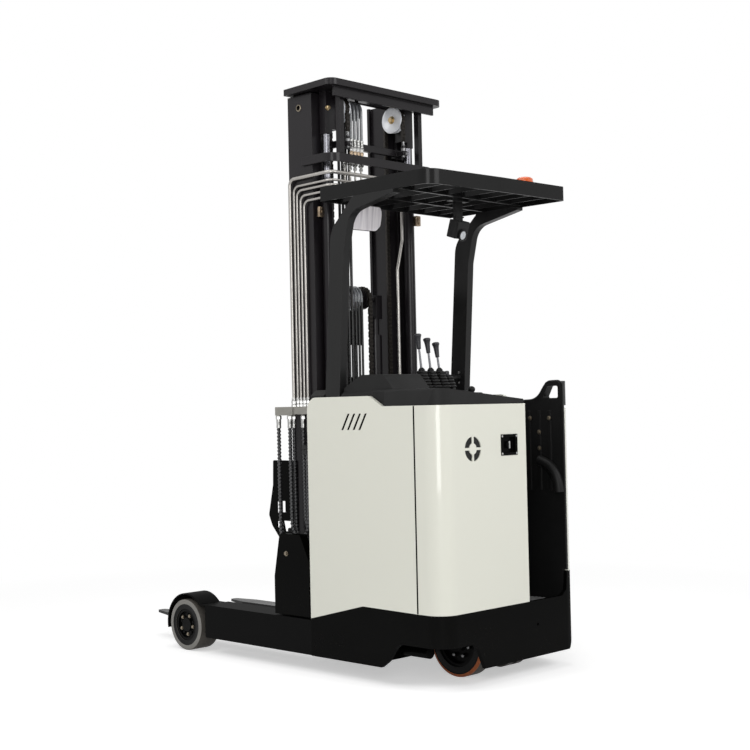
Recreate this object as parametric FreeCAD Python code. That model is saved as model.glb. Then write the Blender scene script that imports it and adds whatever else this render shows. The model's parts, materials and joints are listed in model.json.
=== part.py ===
import FreeCAD, Part
import math
import os
from FreeCAD import Vector

# Stand-on reach truck, millimetres.
# X runs forward to the fork tips, Y to the left, Z up.
# Places along X are measured from the rear face of the chassis.
# The export moves them so that X = 0 is the middle of the overall length.

# Chassis
half_width = 465.0
chassis_length = 812.0
shell_wall = 18.0
corner_radius = 90.0
skirt_bottom = 78.0
skirt_front_top = 247.0
skirt_peak_x = 475.0
skirt_peak_top = 331.0
skirt_rear_top = 326.0
skirt_upright_top = 434.0
upright_width = 82.0
arch_top = 189.0
arch_front = 369.0
arch_rear_width = 260.0
jack_hole_radius = 7.0
jack_hole_y = -160.0
jack_hole_z = 220.0
panel_gap = 4.0
seat_gap = 0.3

# Cream panels
panel_top = 1205.0
panel_raised_top = 1251.0
panel_seam_x = 147.0
rear_panel_edge_y = -105.0
vent_y = 255.0
vent_z = 1015.0
vent_radius = 53.0
vent_inner_radius = 24.0
vent_rib = 11.0
switch_y = 13.0
switch_z = 1025.0
switch_width = 112.0
switch_height = 92.0
slot_count = 4
slot_pitch = 36.0
slot_first_x = chassis_length - 224.0
slot_bottom_z = 1103.0
slot_height = 72.0
slot_lean = 42.0
slot_width = 13.0

# Frame inside the panels
tray_top = 184.0
tray_bottom = 170.0
frame_bottom = 90.0
frame_plate = 8.0
bulkhead_x = 405.0
front_plate = 16.0
frame_top = 1180.0
drive_plate_z = 330.0
drive_plate = 12.0
floor_top = 296.0
floor_plate = 12.0
mat_thickness = 9.0
mat_rib = 4.0
mat_rib_pitch = 22.0
mat_border = 12.0
battery_clearance = 12.0
battery_side_room = 80.0
battery_length = chassis_length - front_plate - bulkhead_x - frame_plate - 2 * battery_clearance
battery_width = 2 * (half_width - battery_side_room)
battery_height = 640.0

# Operator place
liner_wall = 6.0
liner_top = 1215.0
liner_right_inner_y = upright_width - half_width
right_wall_thickness = 12.0
grab_loop_bottom = 1192.0
right_trim_width = 68.0
handle_top = 1305.0
console_bottom = 1181.0
wedge_bottom = 1206.0
console_top = 1285.0
hump_top = 1345.0
hump_rear = 298.0
dash_top = 1235.0
lever_x = 450.0
lever_radius = 29.5
lever_top = 1520.0
short_lever_top = 1360.0
lever_knob_radius = 17.5
lever_knob_height = 70.0
steering_x = 500.0
steering_y = 190.0 - half_width
short_lever_y = steering_y + 145.0
dash_edge_y = steering_y + 205.0
first_lever_y = steering_y + 255.0
lever_pitch = 60.0
steering_radius = 88.0
grip_set_back = 30.0
grip_z = 1330.0
grip_length = 150.0
grip_neck = 47.0
grip_radius = 15.0

# Overhead guard
guard_half_width = half_width - 20.0
guard_front = chassis_length - 97.0
guard_rear = 18.0
guard_top = 2205.0
guard_height = 65.0
guard_bottom = guard_top - guard_height
guard_wall = 8.0
slat_count = 7
slat_width = 42.0
slat_thickness = 6.0
post_width = 92.0
post_thickness = 40.0
post_foot_x = chassis_length - 192.0
post_lean = 60.0
post_turn_z = guard_bottom - 180.0
post_end_x = post_foot_x - 365.0
grip_x = post_foot_x + grip_set_back
beacon_x = 195.0
beacon_y = 56.0 - guard_half_width
work_light_x = 338.0
work_light_y = -70.0
mirror_x = guard_front - 75.0
mirror_y = 243.0

# Legs and load wheels
leg_top = 240.0
leg_bottom = 80.0
leg_width = 147.0
leg_front = chassis_length + 778.0
leg_slot_bottom = 105.0
leg_slot_top = 215.0
leg_slot_depth = 65.0
leg_end_block = 30.0
leg_arm = 16.0
load_wheel_x = leg_front + 159.0
load_wheel_radius = 127.0
load_wheel_width = 118.0
load_hub_radius = 80.0
fender_clearance = 22.0
fender_wall = 8.0
fender_front_z = 100.0
axle_radius = 20.0
fit_clearance = 0.05

# Drive wheel and caster
drive_x = 235.0
drive_y = 83.0
drive_radius = 150.0
drive_width = 90.0
drive_hub_radius = 105.0
caster_x = 205.0
caster_y = -225.0
caster_trail = 38.0
caster_radius = 85.0
caster_wheel_width = 42.0
caster_wheel_gap = 26.0
caster_axle_radius = 12.0

# Mast
mast_rear = chassis_length + 61.5
mast_depth = 165.0
mast_half_width = half_width - 122.0
rail_web = 12.0
rail_flange = 18.0
rail_gap = 5.0
outer_flange_width = 60.0
middle_width = 70.0
inner_width = 66.0
inner_flange = 15.0
inner_web_set_in = 16.0
inner_step = 42.5
rail_bottom = 250.0
outer_beam_thickness = 10.0
outer_beam_height = 90.0
outer_lower_z = 330.0
outer_upper_z = 1150.0
middle_beam_thickness = 8.0
middle_beam_height = 70.0
middle_lower_z = 262.0
middle_upper_z = 1230.0
inner_beam_setback = 9.0
inner_beam_thickness = 8.0
inner_beam_height = 60.0
inner_top_beam_height = 24.0
inner_lower_z = 260.0
inner_anchor_z = 1290.0
wear_pad_z = 300.0
wear_pad_height = 60.0
outer_top = 2685.0
middle_top = 2690.0
inner_top = 2715.0
top_plate = 30.0
top_plate_rear = mast_rear - 178.5
top_plate_front = mast_rear + 158.5
top_plate_half_width = mast_half_width + 42.0
plate_notch_x = mast_rear + 24.5
lifting_hole_radius = 14.0
lifting_hole_x = mast_rear + 86.5
lifting_hole_z = outer_top - 60.0
bar_z = 2345.0
bar_height = 40.0
bar_thickness = 12.0
bar_rear = mast_rear - 143.5
bar_front = mast_rear + 62.5
mast_post_x = bar_rear + 15.0
mast_post_depth = 30.0
mast_post_inner_y = mast_half_width - 88.0
mast_post_width = 25.0
anchor_beam_x = mast_rear - 49.5
anchor_beam_depth = 24.0
anchor_beam_z = 2436.0
anchor_beam_height = 32.0
anchor_arm = 12.0
mast_head_x = mast_rear - 50.5
mast_head_depth = 44.0
mast_head_width = 80.0
mast_head_step = 41.0
mast_head_ledge = 25.0
rod_top = 2490.0
pipe_back_x = mast_rear - 137.5
sheave_x = mast_rear - 25.5
sheave_z = 2620.0
sheave_radius = 60.0
chain_y = mast_half_width - 153.0
chain_width = 22.0
chain_thickness = 14.0
chain_pitch = 19.0
link_gap = 2.5
link_gap_depth = 3.0
front_links = 10
free_links = 12
lift_cylinder_x = mast_rear - 28.5
lift_cylinder_y = mast_half_width - 66.0
lift_barrel_radius = 27.5
lift_rod_radius = 18.0
lift_barrel_top = 2270.0
supply_pipe_x = mast_rear - 53.5
supply_pipe_radius = 7.0
top_hose_radius = 7.0
top_hose_rear = mast_rear - 68.5
top_hose_front = mast_rear + 20.0
top_hose_first_y = chain_y - 38.0
top_hose_pitch = 23.0
top_hose_top = 2660.0

# Free lift
free_cylinder_x = mast_rear + 96.5
free_cylinder_y = mast_half_width - 193.0
free_barrel_radius = 32.0
free_rod_radius = 20.0
free_barrel_top = 1560.0
head_z = 1655.0
head_sheave_radius = 50.0
head_sheave_rise = 80.0
head_shaft_radius = 12.0
head_hose_radius = 6.0
head_hose_pitch = 21.0
free_chain_y = (95.0, -60.0)
hose_roller_y = 28.0
hose_roller_width = 84.0

# Fork carriage and forks
carriage_front = mast_rear + mast_depth + 16.5
carriage_bar = 16.0
carriage_bar_height = 90.0
carriage_setback = 28.0
carriage_roller_radius = 20.5
carriage_plate = 18.0
carriage_bottom = 150.0
carriage_top = 620.0
fork_heel_x = carriage_front + 50.0
fork_thickness = 40.0
fork_width = 100.0
fork_leg_gap = 17.0
fork_spread = 2 * (half_width - leg_width - fork_leg_gap)
fork_length = 1105.0
fork_top = 134.0
fork_tip_thickness = 12.0
tilt_frame_depth = 24.0
tilt_pin_x = carriage_front + 1.0
tilt_pin_z = carriage_top - 20.0
tilt_pin_radius = 12.0

# Reach carriage
reach_rear = chassis_length + 25.0
reach_front = mast_rear + mast_depth + 39.5
hanger_front = reach_front - 18.0
reach_roller_radius = 49.0
reach_cross_thickness = 18.5
reach_clearance = 5.0
reach_side_y = half_width - 16.0
reach_side_width = 42.0
reach_cylinder_y = half_width - leg_width - 28.0
reach_cylinder_z = 130.0
reach_barrel_radius = 26.0
reach_rod_radius = 15.0
reach_barrel_rear = 240.0

# Hose loops beside the left channel
manifold_bottom = 1172.0
manifold_height = 40.0
manifold_depth = 58.0
hanging_hose_radius = 9.0
hose_fitting_height = 53.0
clamp_z = 990.0
clamp_height = 40.0

overall_length = fork_heel_x + fork_thickness + fork_length
inner_half = half_width - shell_wall
leg_inner_y = half_width - leg_width


def block(x, y, z):
    size = Vector(x[1] - x[0], y[1] - y[0], z[1] - z[0])
    return Part.makeBox(size.x, size.y, size.z, Vector(x[0], y[0], z[0]))


def rod(start, end, radius):
    axis = end - start
    return Part.makeCylinder(radius, axis.Length, start, axis)


def ring(start, end, outer, inner):
    axis = end - start
    return Part.makeCylinder(outer, axis.Length, start, axis).cut(
        Part.makeCylinder(inner, axis.Length, start, axis))


def fused(shapes):
    whole = shapes[0]
    if len(shapes) > 1:
        whole = shapes[0].multiFuse(shapes[1:])
    return whole.removeSplitter()


def group(shapes):
    return Part.makeCompound(shapes)


# A point of an outline or a path is (u, v, radius) or a Vector with one radius for all.
def rounded_edges(points, radii, closed):
    count = len(points)
    starts = []
    ends = []
    arcs = []
    for index, point in enumerate(points):
        radius = radii[index]
        if radius <= 0 or (not closed and index in (0, count - 1)):
            starts.append(point)
            ends.append(point)
            arcs.append(None)
            continue
        before = (points[index - 1] - point).normalize()
        after = (points[(index + 1) % count] - point).normalize()
        half_turn = (math.pi - before.getAngle(after)) / 2
        reach = radius * math.tan(half_turn)
        entry = point + before * reach
        leave = point + after * reach
        middle = point + (before + after).normalize() * (radius / math.cos(half_turn) - radius)
        starts.append(entry)
        ends.append(leave)
        arcs.append(Part.Arc(entry, middle, leave).toShape())
    edges = []
    for index in range(count):
        if arcs[index] is not None:
            edges.append(arcs[index])
        last = index == count - 1
        if last and not closed:
            break
        nxt = (index + 1) % count
        if (starts[nxt] - ends[index]).Length > 1e-6:
            edges.append(Part.makeLine(ends[index], starts[nxt]))
    return edges


PLANES = {
    "xy": lambda u, v, w: Vector(u, v, w),
    "xz": lambda u, v, w: Vector(u, w, v),
    "yz": lambda u, v, w: Vector(w, u, v),
}


def prism(plane, outline, low, high):
    place = PLANES[plane]
    points = [place(p[0], p[1], low) for p in outline]
    radii = [p[2] if len(p) > 2 else 0.0 for p in outline]
    wire = Part.Wire(Part.__sortEdges__(rounded_edges(points, radii, True)))
    return Part.Face(wire).extrude(place(0, 0, high - low))


def tube(points, radius, bend):
    edges = rounded_edges(points, [bend] * len(points), False)
    path = Part.Wire(edges)
    direction = points[1] - points[0]
    section = Part.Wire(Part.makeCircle(radius, points[0], direction))
    return path.makePipeShell([section], True, False)


def mirrored(shape):
    return shape.mirror(Vector(0, 0, 0), Vector(0, 1, 0))


def both_sides(shape):
    return [shape, mirrored(shape)]


def export(node, shape):
    moved = shape.copy()
    moved.translate(Vector(-overall_length / 2, 0, 0))
    moved.exportStep("parts/" + node + ".step")


# The chassis outline in plan, set in from its edge.
def plan_block(inset, low, high, front):
    side = half_width - inset
    radius = corner_radius - inset
    return prism("xy", [(inset, -side, radius), (front, -side), (front, side), (inset, side, radius)], low, high)


# The strip between the chassis outline and the same outline a wall inside it.
def plan_ring(wall, low, high, front):
    return plan_block(0, low, high, front).cut(plan_block(wall, low, high, front + wall))


# Top line of the skirt, seen from the side: peak under the side panel.
def skirt_top_line(extra):
    return [(chassis_length, skirt_front_top + extra), (skirt_peak_x, skirt_peak_top + extra),
            (panel_seam_x, skirt_rear_top + extra), (0, skirt_rear_top + extra)]


def base_skirt():
    skirt = plan_ring(shell_wall, skirt_bottom, skirt_upright_top, chassis_length)
    over = skirt_upright_top + 1
    line = skirt_top_line(0)
    above = [(chassis_length + 1, line[0][1])] + line + [(-1, line[-1][1]), (-1, over),
                                                        (chassis_length + 1, over)]
    upright_y = -half_width + upright_width
    left_cut = prism("xz", above, upright_y, half_width + 1)
    right = [(chassis_length + 1, line[0][1])] + line[:3]
    right += [(110, skirt_upright_top), (110, over), (chassis_length + 1, over)]
    right_cut = prism("xz", right, -half_width - 1, upright_y)
    lip = prism("yz", [(upright_y, skirt_rear_top), (upright_y + 40, skirt_rear_top),
                       (upright_y + 8, skirt_rear_top + 22, 20), (upright_y, skirt_upright_top)],
                0, shell_wall)
    side_arch = prism("xz", [(-1, skirt_bottom - 1), (arch_front, skirt_bottom - 1), (324, 109),
                             (262, arch_top, 60), (-1, arch_top)],
                      half_width - 2 * corner_radius, half_width + 1)
    arch_y = half_width - arch_rear_width
    rear_arch = prism("yz", [(half_width + 1, skirt_bottom - 1), (arch_y, skirt_bottom - 1),
                             (arch_y + 8, 96), (arch_y + 55, arch_top, 60), (half_width + 1, arch_top)],
                      -1, 2 * corner_radius)
    chamfer = prism("yz", [(-half_width - 1, skirt_bottom - 1), (-396, skirt_bottom - 1),
                           (-half_width, 158), (-half_width - 1, 158)], -1, corner_radius)
    hole = rod(Vector(-1, jack_hole_y, jack_hole_z),
               Vector(shell_wall + 1, jack_hole_y, jack_hole_z), jack_hole_radius)
    skirt = skirt.cut(left_cut).cut(right_cut)
    skirt = skirt.cut(side_arch).cut(rear_arch).cut(chamfer).cut(hole)
    return fused([skirt, lip])


def chassis_frame():
    y = (-inner_half, inner_half)
    front = block((chassis_length - front_plate, chassis_length), y, (frame_bottom, frame_top))
    tray = block((bulkhead_x, chassis_length - front_plate), y, (tray_bottom, tray_top))
    bulkhead = block((bulkhead_x, bulkhead_x + frame_plate), y, (frame_bottom, frame_top))
    drive = block((shell_wall, bulkhead_x), (rear_panel_edge_y, inner_half),
                  (drive_plate_z, drive_plate_z + drive_plate))
    opening = rod(Vector(drive_x, drive_y, drive_plate_z), Vector(drive_x, drive_y, drive_plate_z + 20), 95)
    floor = block((shell_wall, bulkhead_x), (-inner_half, rear_panel_edge_y),
                  (floor_top - floor_plate, floor_top))
    divider = block((shell_wall, bulkhead_x), (rear_panel_edge_y, rear_panel_edge_y + frame_plate),
                    (floor_top - floor_plate, drive_plate_z))
    rails = []
    for side in (-1, 1):
        low = min(side * inner_half, side * (inner_half - post_thickness))
        rails.append(block((bulkhead_x, chassis_length - front_plate), (low, low + post_thickness),
                           (frame_top - 40, frame_top)))
    start = Vector(reach_barrel_rear, reach_cylinder_y, reach_cylinder_z)
    end = Vector(chassis_length, reach_cylinder_y, reach_cylinder_z)
    barrel = rod(start, end, reach_barrel_radius)
    bore = rod(start + Vector(12, 0, 0), end + Vector(1, 0, 0), reach_rod_radius + 1)
    body = fused([front, tray, bulkhead, drive, floor, divider, barrel] + rails)
    inside = plan_block(shell_wall, 0, frame_top + 1, chassis_length)
    return body.cut(opening).cut(bore).common(inside)


def battery():
    x = bulkhead_x + frame_plate + battery_clearance
    return block((x, x + battery_length), (-battery_width / 2, battery_width / 2),
                 (tray_top, tray_top + battery_height))


def side_panel(side):
    low = skirt_top_line(seat_gap)
    outline = [(panel_seam_x + 1, low[2][1]), (low[1][0], low[1][1]), (chassis_length, low[0][1]),
               (chassis_length, panel_raised_top, 60), (411, panel_raised_top, 30),
               (334, panel_top, 30), (panel_seam_x + 1, panel_top)]
    panel = prism("xz", outline, inner_half, half_width)
    for index in range(slot_count):
        x = slot_first_x - index * slot_pitch
        slot = prism("xz", [(x, slot_bottom_z), (x - slot_width, slot_bottom_z),
                            (x - slot_width - slot_lean, slot_bottom_z + slot_height),
                            (x - slot_lean, slot_bottom_z + slot_height)],
                     inner_half - 1, half_width + 1)
        panel = panel.cut(slot)
    if side < 0:
        panel = mirrored(panel)
    return panel


def rear_panel_left():
    panel = plan_ring(shell_wall, skirt_rear_top + seat_gap, panel_top, panel_seam_x - panel_gap)
    keep = block((-1, panel_seam_x), (rear_panel_edge_y, half_width + 1), (0, panel_top + 1))
    panel = panel.common(keep)
    start = Vector(-1, vent_y, vent_z)
    end = Vector(shell_wall + 1, vent_y, vent_z)
    vent = ring(start, end, vent_radius, vent_inner_radius)
    half_rib = vent_rib / 2
    cross = [block((-2, shell_wall + 2), (vent_y - 99, vent_y + 99), (vent_z - half_rib, vent_z + half_rib)),
             block((-2, shell_wall + 2), (vent_y - half_rib, vent_y + half_rib), (vent_z - 99, vent_z + 99))]
    vent = vent.cut(cross[0]).cut(cross[1])
    window = block((-1, shell_wall + 1), (switch_y - switch_width / 2, switch_y + switch_width / 2),
                   (switch_z - switch_height / 2, switch_z + switch_height / 2))
    return panel.cut(vent).cut(window)


def rear_panel_right():
    panel = plan_ring(shell_wall, skirt_rear_top, panel_top - 25, panel_seam_x - panel_gap)
    keep = block((-1, panel_seam_x), (-half_width - 1, right_trim_width - half_width), (0, panel_top + 1))
    skirt_room = prism("xz", [(-1, 0), (panel_seam_x, 0), (panel_seam_x, skirt_rear_top + seat_gap),
                              (110, skirt_upright_top + seat_gap), (-1, skirt_upright_top + seat_gap)],
                       -half_width - 1, 0)
    return panel.common(keep).cut(skirt_room)


# Rectangular switch housing in the rear panel: frame, dished face and push button.
def emergency_switch():
    y = (switch_y - switch_width / 2 + seat_gap, switch_y + switch_width / 2 - seat_gap)
    z = (switch_z - switch_height / 2 + seat_gap, switch_z + switch_height / 2 - seat_gap)
    plate = block((-3, 30), y, z)
    dish = block((-4, 14), (y[0] + 14, y[1] - 14), (z[0] + 12, z[1] - 12))
    button = rod(Vector(14, switch_y, switch_z), Vector(2, switch_y, switch_z), 15)
    return fused([plate.cut(dish), button])


def operator_floor():
    x = (shell_wall + 1, bulkhead_x - liner_wall - 2)
    y = (liner_right_inner_y + 1, rear_panel_edge_y - liner_wall - 1)
    mat = block(x, y, (floor_top, floor_top + mat_thickness - mat_rib))
    ribs = []
    position = x[0] + mat_rib_pitch / 2
    while position < x[1] - mat_rib_pitch / 2:
        ribs.append(block((position, position + mat_rib_pitch / 2), (y[0] + mat_border, y[1] - mat_border),
                          (floor_top, floor_top + mat_thickness)))
        position += mat_rib_pitch
    inside = plan_block(shell_wall + 1, floor_top, floor_top + mat_thickness, chassis_length)
    return fused([mat] + ribs).common(inside)


# Moulded walls round the operator: left wall, front wall and the thick right wall.
def compartment_liner():
    y_left = rear_panel_edge_y
    z = (floor_top + seat_gap, liner_top - 20)
    left = block((shell_wall + 1, bulkhead_x - 1), (y_left - liner_wall, y_left), z)
    front = block((bulkhead_x - liner_wall - 1, bulkhead_x - 1), (liner_right_inner_y, y_left), z)
    pads = [block((bulkhead_x - 30, bulkhead_x - 1), (liner_right_inner_y, y_left), (700, 900))]
    return fused([left, front] + pads)


def right_wall():
    y = (-half_width + 34 + 1, liner_right_inner_y)
    outline = [(22, floor_top + seat_gap), (bulkhead_x - 1, floor_top + seat_gap),
               (bulkhead_x - 1, liner_top), (150, liner_top, 30), (95, handle_top, 25),
               (0, handle_top, 25), (2, skirt_upright_top + 8), (22, skirt_upright_top + 8)]
    wall = prism("xz", outline, y[0], y[1])
    grip = prism("xz", [(28, liner_top + 12, 8), (118, liner_top + 12, 8), (88, handle_top - 22, 10),
                        (28, handle_top - 22, 10)], y[0] - 1, y[1] + 1)
    hollow = block((-1, bulkhead_x), (y[0] - 1, y[1] - right_wall_thickness), (0, grab_loop_bottom))
    ribs = []
    for x in (70, 130, 190, 250):
        ribs.append(block((x, x + 14), (y[1] - 1, y[1] + 5), (800, 1170)))
    corner_cut = plan_ring(shell_wall + seat_gap, 0, skirt_upright_top + seat_gap, chassis_length)
    inside = plan_block(0, 0, handle_top + 1, chassis_length)
    return fused([wall.cut(grip).cut(hollow)] + ribs).cut(corner_cut).common(inside)


# Cover over the front of the body: a high deck with a hump on the left, a lower deck under the
# steering wheel on the right and a sloping wedge over the drive compartment.
def console_cover():
    wide = inner_half - 1
    x = (bulkhead_x + 1, chassis_length - 8)
    z = console_bottom
    left = prism("yz", [(dash_edge_y, z), (wide, z), (wide, console_top - 25), (wide - 30, console_top, 10),
                        (dash_edge_y, console_top, 8)], x[0], x[1])
    right = prism("yz", [(-wide, z), (dash_edge_y + 1, z), (dash_edge_y + 1, dash_top),
                         (-wide + 30, dash_top, 10), (-wide, dash_top - 20)], x[0], x[1])
    hump = prism("xz", [(hump_rear, wedge_bottom + 44), (hump_rear + 400, wedge_bottom + 44),
                        (hump_rear + 345, hump_top - 78, 20), (hump_rear + 195, hump_top, 25),
                        (hump_rear + 60, hump_top, 12), (hump_rear, hump_top - 66)], 190, wide - 16)
    lip = half_width - 8
    wedge = prism("yz", [(rear_panel_edge_y + 1, wedge_bottom), (lip, wedge_bottom), (lip - 12, console_top - 7, 12),
                         (rear_panel_edge_y + 1, wedge_bottom + 19)], 8, x[0] + 1)
    panel_room = block((330, x[0] + 2), (wide, lip + 1), (wedge_bottom - 1, hump_top))
    wedge = wedge.cut(panel_room).common(plan_block(8, wedge_bottom, hump_top, chassis_length))
    cover = fused([left, right, hump, wedge])
    rooms = [block((x[0] + 12, x[1] - 12), (dash_edge_y + 9, wide - 12), (z - 1, console_top - 34)),
             block((x[0] + 12, x[1] - 12), (-wide + 12, dash_edge_y - 9), (z - 1, dash_top - 30)),
             block((30, x[0] - 10), (rear_panel_edge_y + 14, wide - 16), (wedge_bottom - 1, wedge_bottom + 9))]
    post_y = (guard_half_width - post_thickness - 4, guard_half_width + 4)
    post_room = block((post_foot_x - 18, post_foot_x + post_width + 4), post_y, (z - 1, hump_top + 1))
    for room in rooms + both_sides(post_room):
        cover = cover.cut(room)
    return cover


# Levers with bellows on the left deck, a short one on the right deck and a grab bar by the post.
def lever_bank():
    pieces = []
    table = [  # y, deck height, lever top
        (first_lever_y + 2 * lever_pitch, console_top, lever_top),
        (first_lever_y + lever_pitch, console_top, lever_top - 20),
        (first_lever_y, console_top, lever_top - 38),
        (short_lever_y, dash_top, short_lever_top),
    ]
    for y, deck, top in table:
        z = deck + seat_gap
        fold = min(18, (top - deck) / 8)
        bellows = []
        for step in range(5):
            radius = lever_radius - 3.5 * step
            bellows.append(Part.makeCone(radius, radius - 6, fold + 1, Vector(lever_x, y, z + step * fold)))
        knob_low = top - min(lever_knob_height, (top - deck) / 2)
        stem = rod(Vector(lever_x, y, z), Vector(lever_x, y, knob_low + 5), 6)
        knob = Part.makeCone(10, lever_knob_radius, top - 12 - knob_low, Vector(lever_x, y, knob_low))
        cap = Part.makeCone(lever_knob_radius, lever_knob_radius - 6, 12, Vector(lever_x, y, top - 12))
        pieces.append(fused(bellows + [stem, knob, cap]))
    bar_end = -guard_half_width + post_thickness + seat_gap
    grip_start = bar_end + grip_neck
    neck = rod(Vector(grip_x, bar_end, grip_z), Vector(grip_x, grip_start + 1, grip_z), 9)
    bar = rod(Vector(grip_x, grip_start, grip_z), Vector(grip_x, bar_end + grip_length, grip_z), grip_radius)
    end = Part.makeSphere(grip_radius, Vector(grip_x, bar_end + grip_length, grip_z))
    pieces.append(fused([neck, bar, end]))
    return group(pieces)


def steering_wheel():
    centre = Vector(steering_x, steering_y, dash_top + 14)
    disc = Part.makeCylinder(steering_radius, 12, centre)
    dish = Part.makeCylinder(steering_radius - 16, 8, centre + Vector(0, 0, 6))
    boss = Part.makeCylinder(28, 20, centre)
    knob_place = centre + Vector(-steering_radius + 17, 31, 0)
    stem = Part.makeCylinder(7, 20, knob_place)
    ball = Part.makeSphere(17, knob_place + Vector(0, 0, 26))
    shaft = Part.makeCylinder(16, 14 - seat_gap, centre - Vector(0, 0, 14 - seat_gap))
    return fused([disc.cut(dish), boss, stem, ball, shaft])


# Guard roof: rolled band, fore-aft slats set at an angle and two cross bars.
def guard_outline(inset, low, high):
    w = guard_half_width - inset
    rear_left = 50.0
    rear_right = 2.0
    return prism("xy", [(guard_front - inset, w), (rear_left + inset, w, 70 - inset),
                        (guard_rear + inset, 0), (rear_right + inset, -w, 20 - inset),
                        (guard_front - inset, -w)], low, high)


def overhead_guard():
    band = guard_outline(0, guard_bottom, guard_top).cut(
        guard_outline(guard_wall, guard_bottom - 1, guard_top + 1))
    inside = guard_outline(guard_wall / 2, guard_bottom, guard_top)
    parts = []
    pitch = 2 * guard_half_width / (slat_count + 1)
    for index in range(slat_count):
        y = -guard_half_width + (index + 1) * pitch
        lean = slat_width * 0.45
        slat = prism("yz", [(y - lean, guard_bottom + 8), (y - lean + slat_thickness, guard_bottom + 8),
                            (y + lean, guard_top - 12), (y + lean - slat_thickness, guard_top - 12)],
                     0, guard_front)
        parts.append(slat.common(inside))
    for x in (250, 480):
        bar = block((x, x + 12), (-guard_half_width, guard_half_width), (guard_bottom + 4, guard_top - 20))
        parts.append(bar.common(inside))
    return fused([band] + parts)


# A guard post: plate channel that leans back and sweeps into the roof.
def guard_post(side):
    foot = post_foot_x
    top = guard_bottom - seat_gap
    front = foot + post_width
    outline = [(foot, frame_top), (front, frame_top), (front - post_lean, post_turn_z + 40, 120),
               (post_end_x + 250, top, 20), (post_end_x, top),
               (post_end_x, top - 14), (foot - post_lean - 30, post_turn_z + 110, 90),
               (foot - post_lean + 10, post_turn_z - 60, 60)]
    y = (guard_half_width - post_thickness, guard_half_width)
    post = prism("xz", outline, y[0], y[1])
    if side < 0:
        post = mirrored(post)
    return post


# Flat plate on the slats with a low round lamp.
def beacon():
    slat_top = guard_top - 12
    centre = Vector(beacon_x, beacon_y, slat_top)
    plate = block((beacon_x - 60, beacon_x + 60), (-guard_half_width + guard_wall + 1, beacon_y + 80),
                  (slat_top + seat_gap, slat_top + 6))
    base = Part.makeCylinder(46, 26, centre + Vector(0, 0, 3))
    lens = Part.makeCone(45, 32, 50, centre + Vector(0, 0, 28))
    return fused([plate, base, lens])


def work_light():
    x = work_light_x
    y = work_light_y
    slat_bottom = guard_bottom + 8
    strap = block((x - 16, x + 16), (y - 63, y + 62), (slat_bottom - 6, slat_bottom - seat_gap))
    bracket = block((x - 8, x + 8), (y - 25, y + 25), (slat_bottom - 100, slat_bottom - 5))
    body = prism("xz", [(x - 40, slat_bottom - 103, 6), (x - 15, slat_bottom - 182, 6),
                        (x + 40, slat_bottom - 164, 6), (x + 15, slat_bottom - 86, 6)], y - 38, y + 38)
    face = Vector(x - 21, y, slat_bottom - 163)
    lens = rod(face + Vector(4, 0, 1.3), face + Vector(-6, 0, -1.9), 20)
    return fused([strap, bracket, body, lens])


def mirror():
    x = mirror_x
    y = mirror_y
    slat_bottom = guard_bottom + 8
    arm = rod(Vector(x, y, slat_bottom - 63), Vector(x, y, slat_bottom - 5), 8)
    strap = block((x - 16, x + 16), (y - 47, y + 87), (slat_bottom - 6, slat_bottom - seat_gap))
    shell = prism("yz", [(y - 98, slat_bottom - 27, 25), (y + 93, slat_bottom - 27, 25),
                         (y + 78, slat_bottom - 125, 25), (y - 83, slat_bottom - 125, 25)], x - 28, x - 6)
    return fused([shell, strap, arm])


def leg(side):
    y = (leg_inner_y, half_width)
    beam = block((chassis_length, leg_front), y, (leg_bottom, leg_top))
    slot_end = leg_front - leg_end_block
    slot = block((chassis_length + 6, slot_end), (y[0] - 1, y[0] + leg_slot_depth),
                 (leg_slot_bottom, leg_slot_top))
    arm = prism("xz", [(slot_end, leg_bottom), (load_wheel_x + 40, leg_bottom, 10),
                       (load_wheel_x + 60, load_wheel_radius, 40), (load_wheel_x + 30, leg_top - 40, 40),
                       (slot_end, leg_top)], y[0], y[0] + leg_arm)
    pin = rod(Vector(load_wheel_x, y[0] + 1, load_wheel_radius),
              Vector(load_wheel_x, half_width - 20, load_wheel_radius), axle_radius)
    shape = fused([beam.cut(slot), arm, pin])
    if side < 0:
        shape = mirrored(shape)
    return shape


def wheel_fender(side):
    radius = load_wheel_radius + fender_clearance
    y = (leg_inner_y + leg_arm, half_width - 4)
    near = Vector(load_wheel_x, y[0], load_wheel_radius)
    far = Vector(load_wheel_x, y[1], load_wheel_radius)
    outer = radius + fender_wall
    arc = ring(near, far, outer, radius)
    deck = block((leg_front + 1, load_wheel_x), y, (leg_top - fender_wall, leg_top)).cut(rod(near, far, outer - 1))
    keep = block((leg_front + 1, load_wheel_x + outer + 1), y, (fender_front_z, leg_top + outer))
    behind = block((leg_front, load_wheel_x), y, (0, leg_top - fender_wall))
    shape = fused([arc.common(keep).cut(behind), deck])
    if side < 0:
        shape = mirrored(shape)
    return shape


def load_tyre(side):
    y = (half_width - load_wheel_width, half_width)
    tyre = ring(Vector(load_wheel_x, y[0], load_wheel_radius),
                Vector(load_wheel_x, y[1], load_wheel_radius), load_wheel_radius, load_hub_radius)
    if side < 0:
        tyre = mirrored(tyre)
    return tyre


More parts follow.
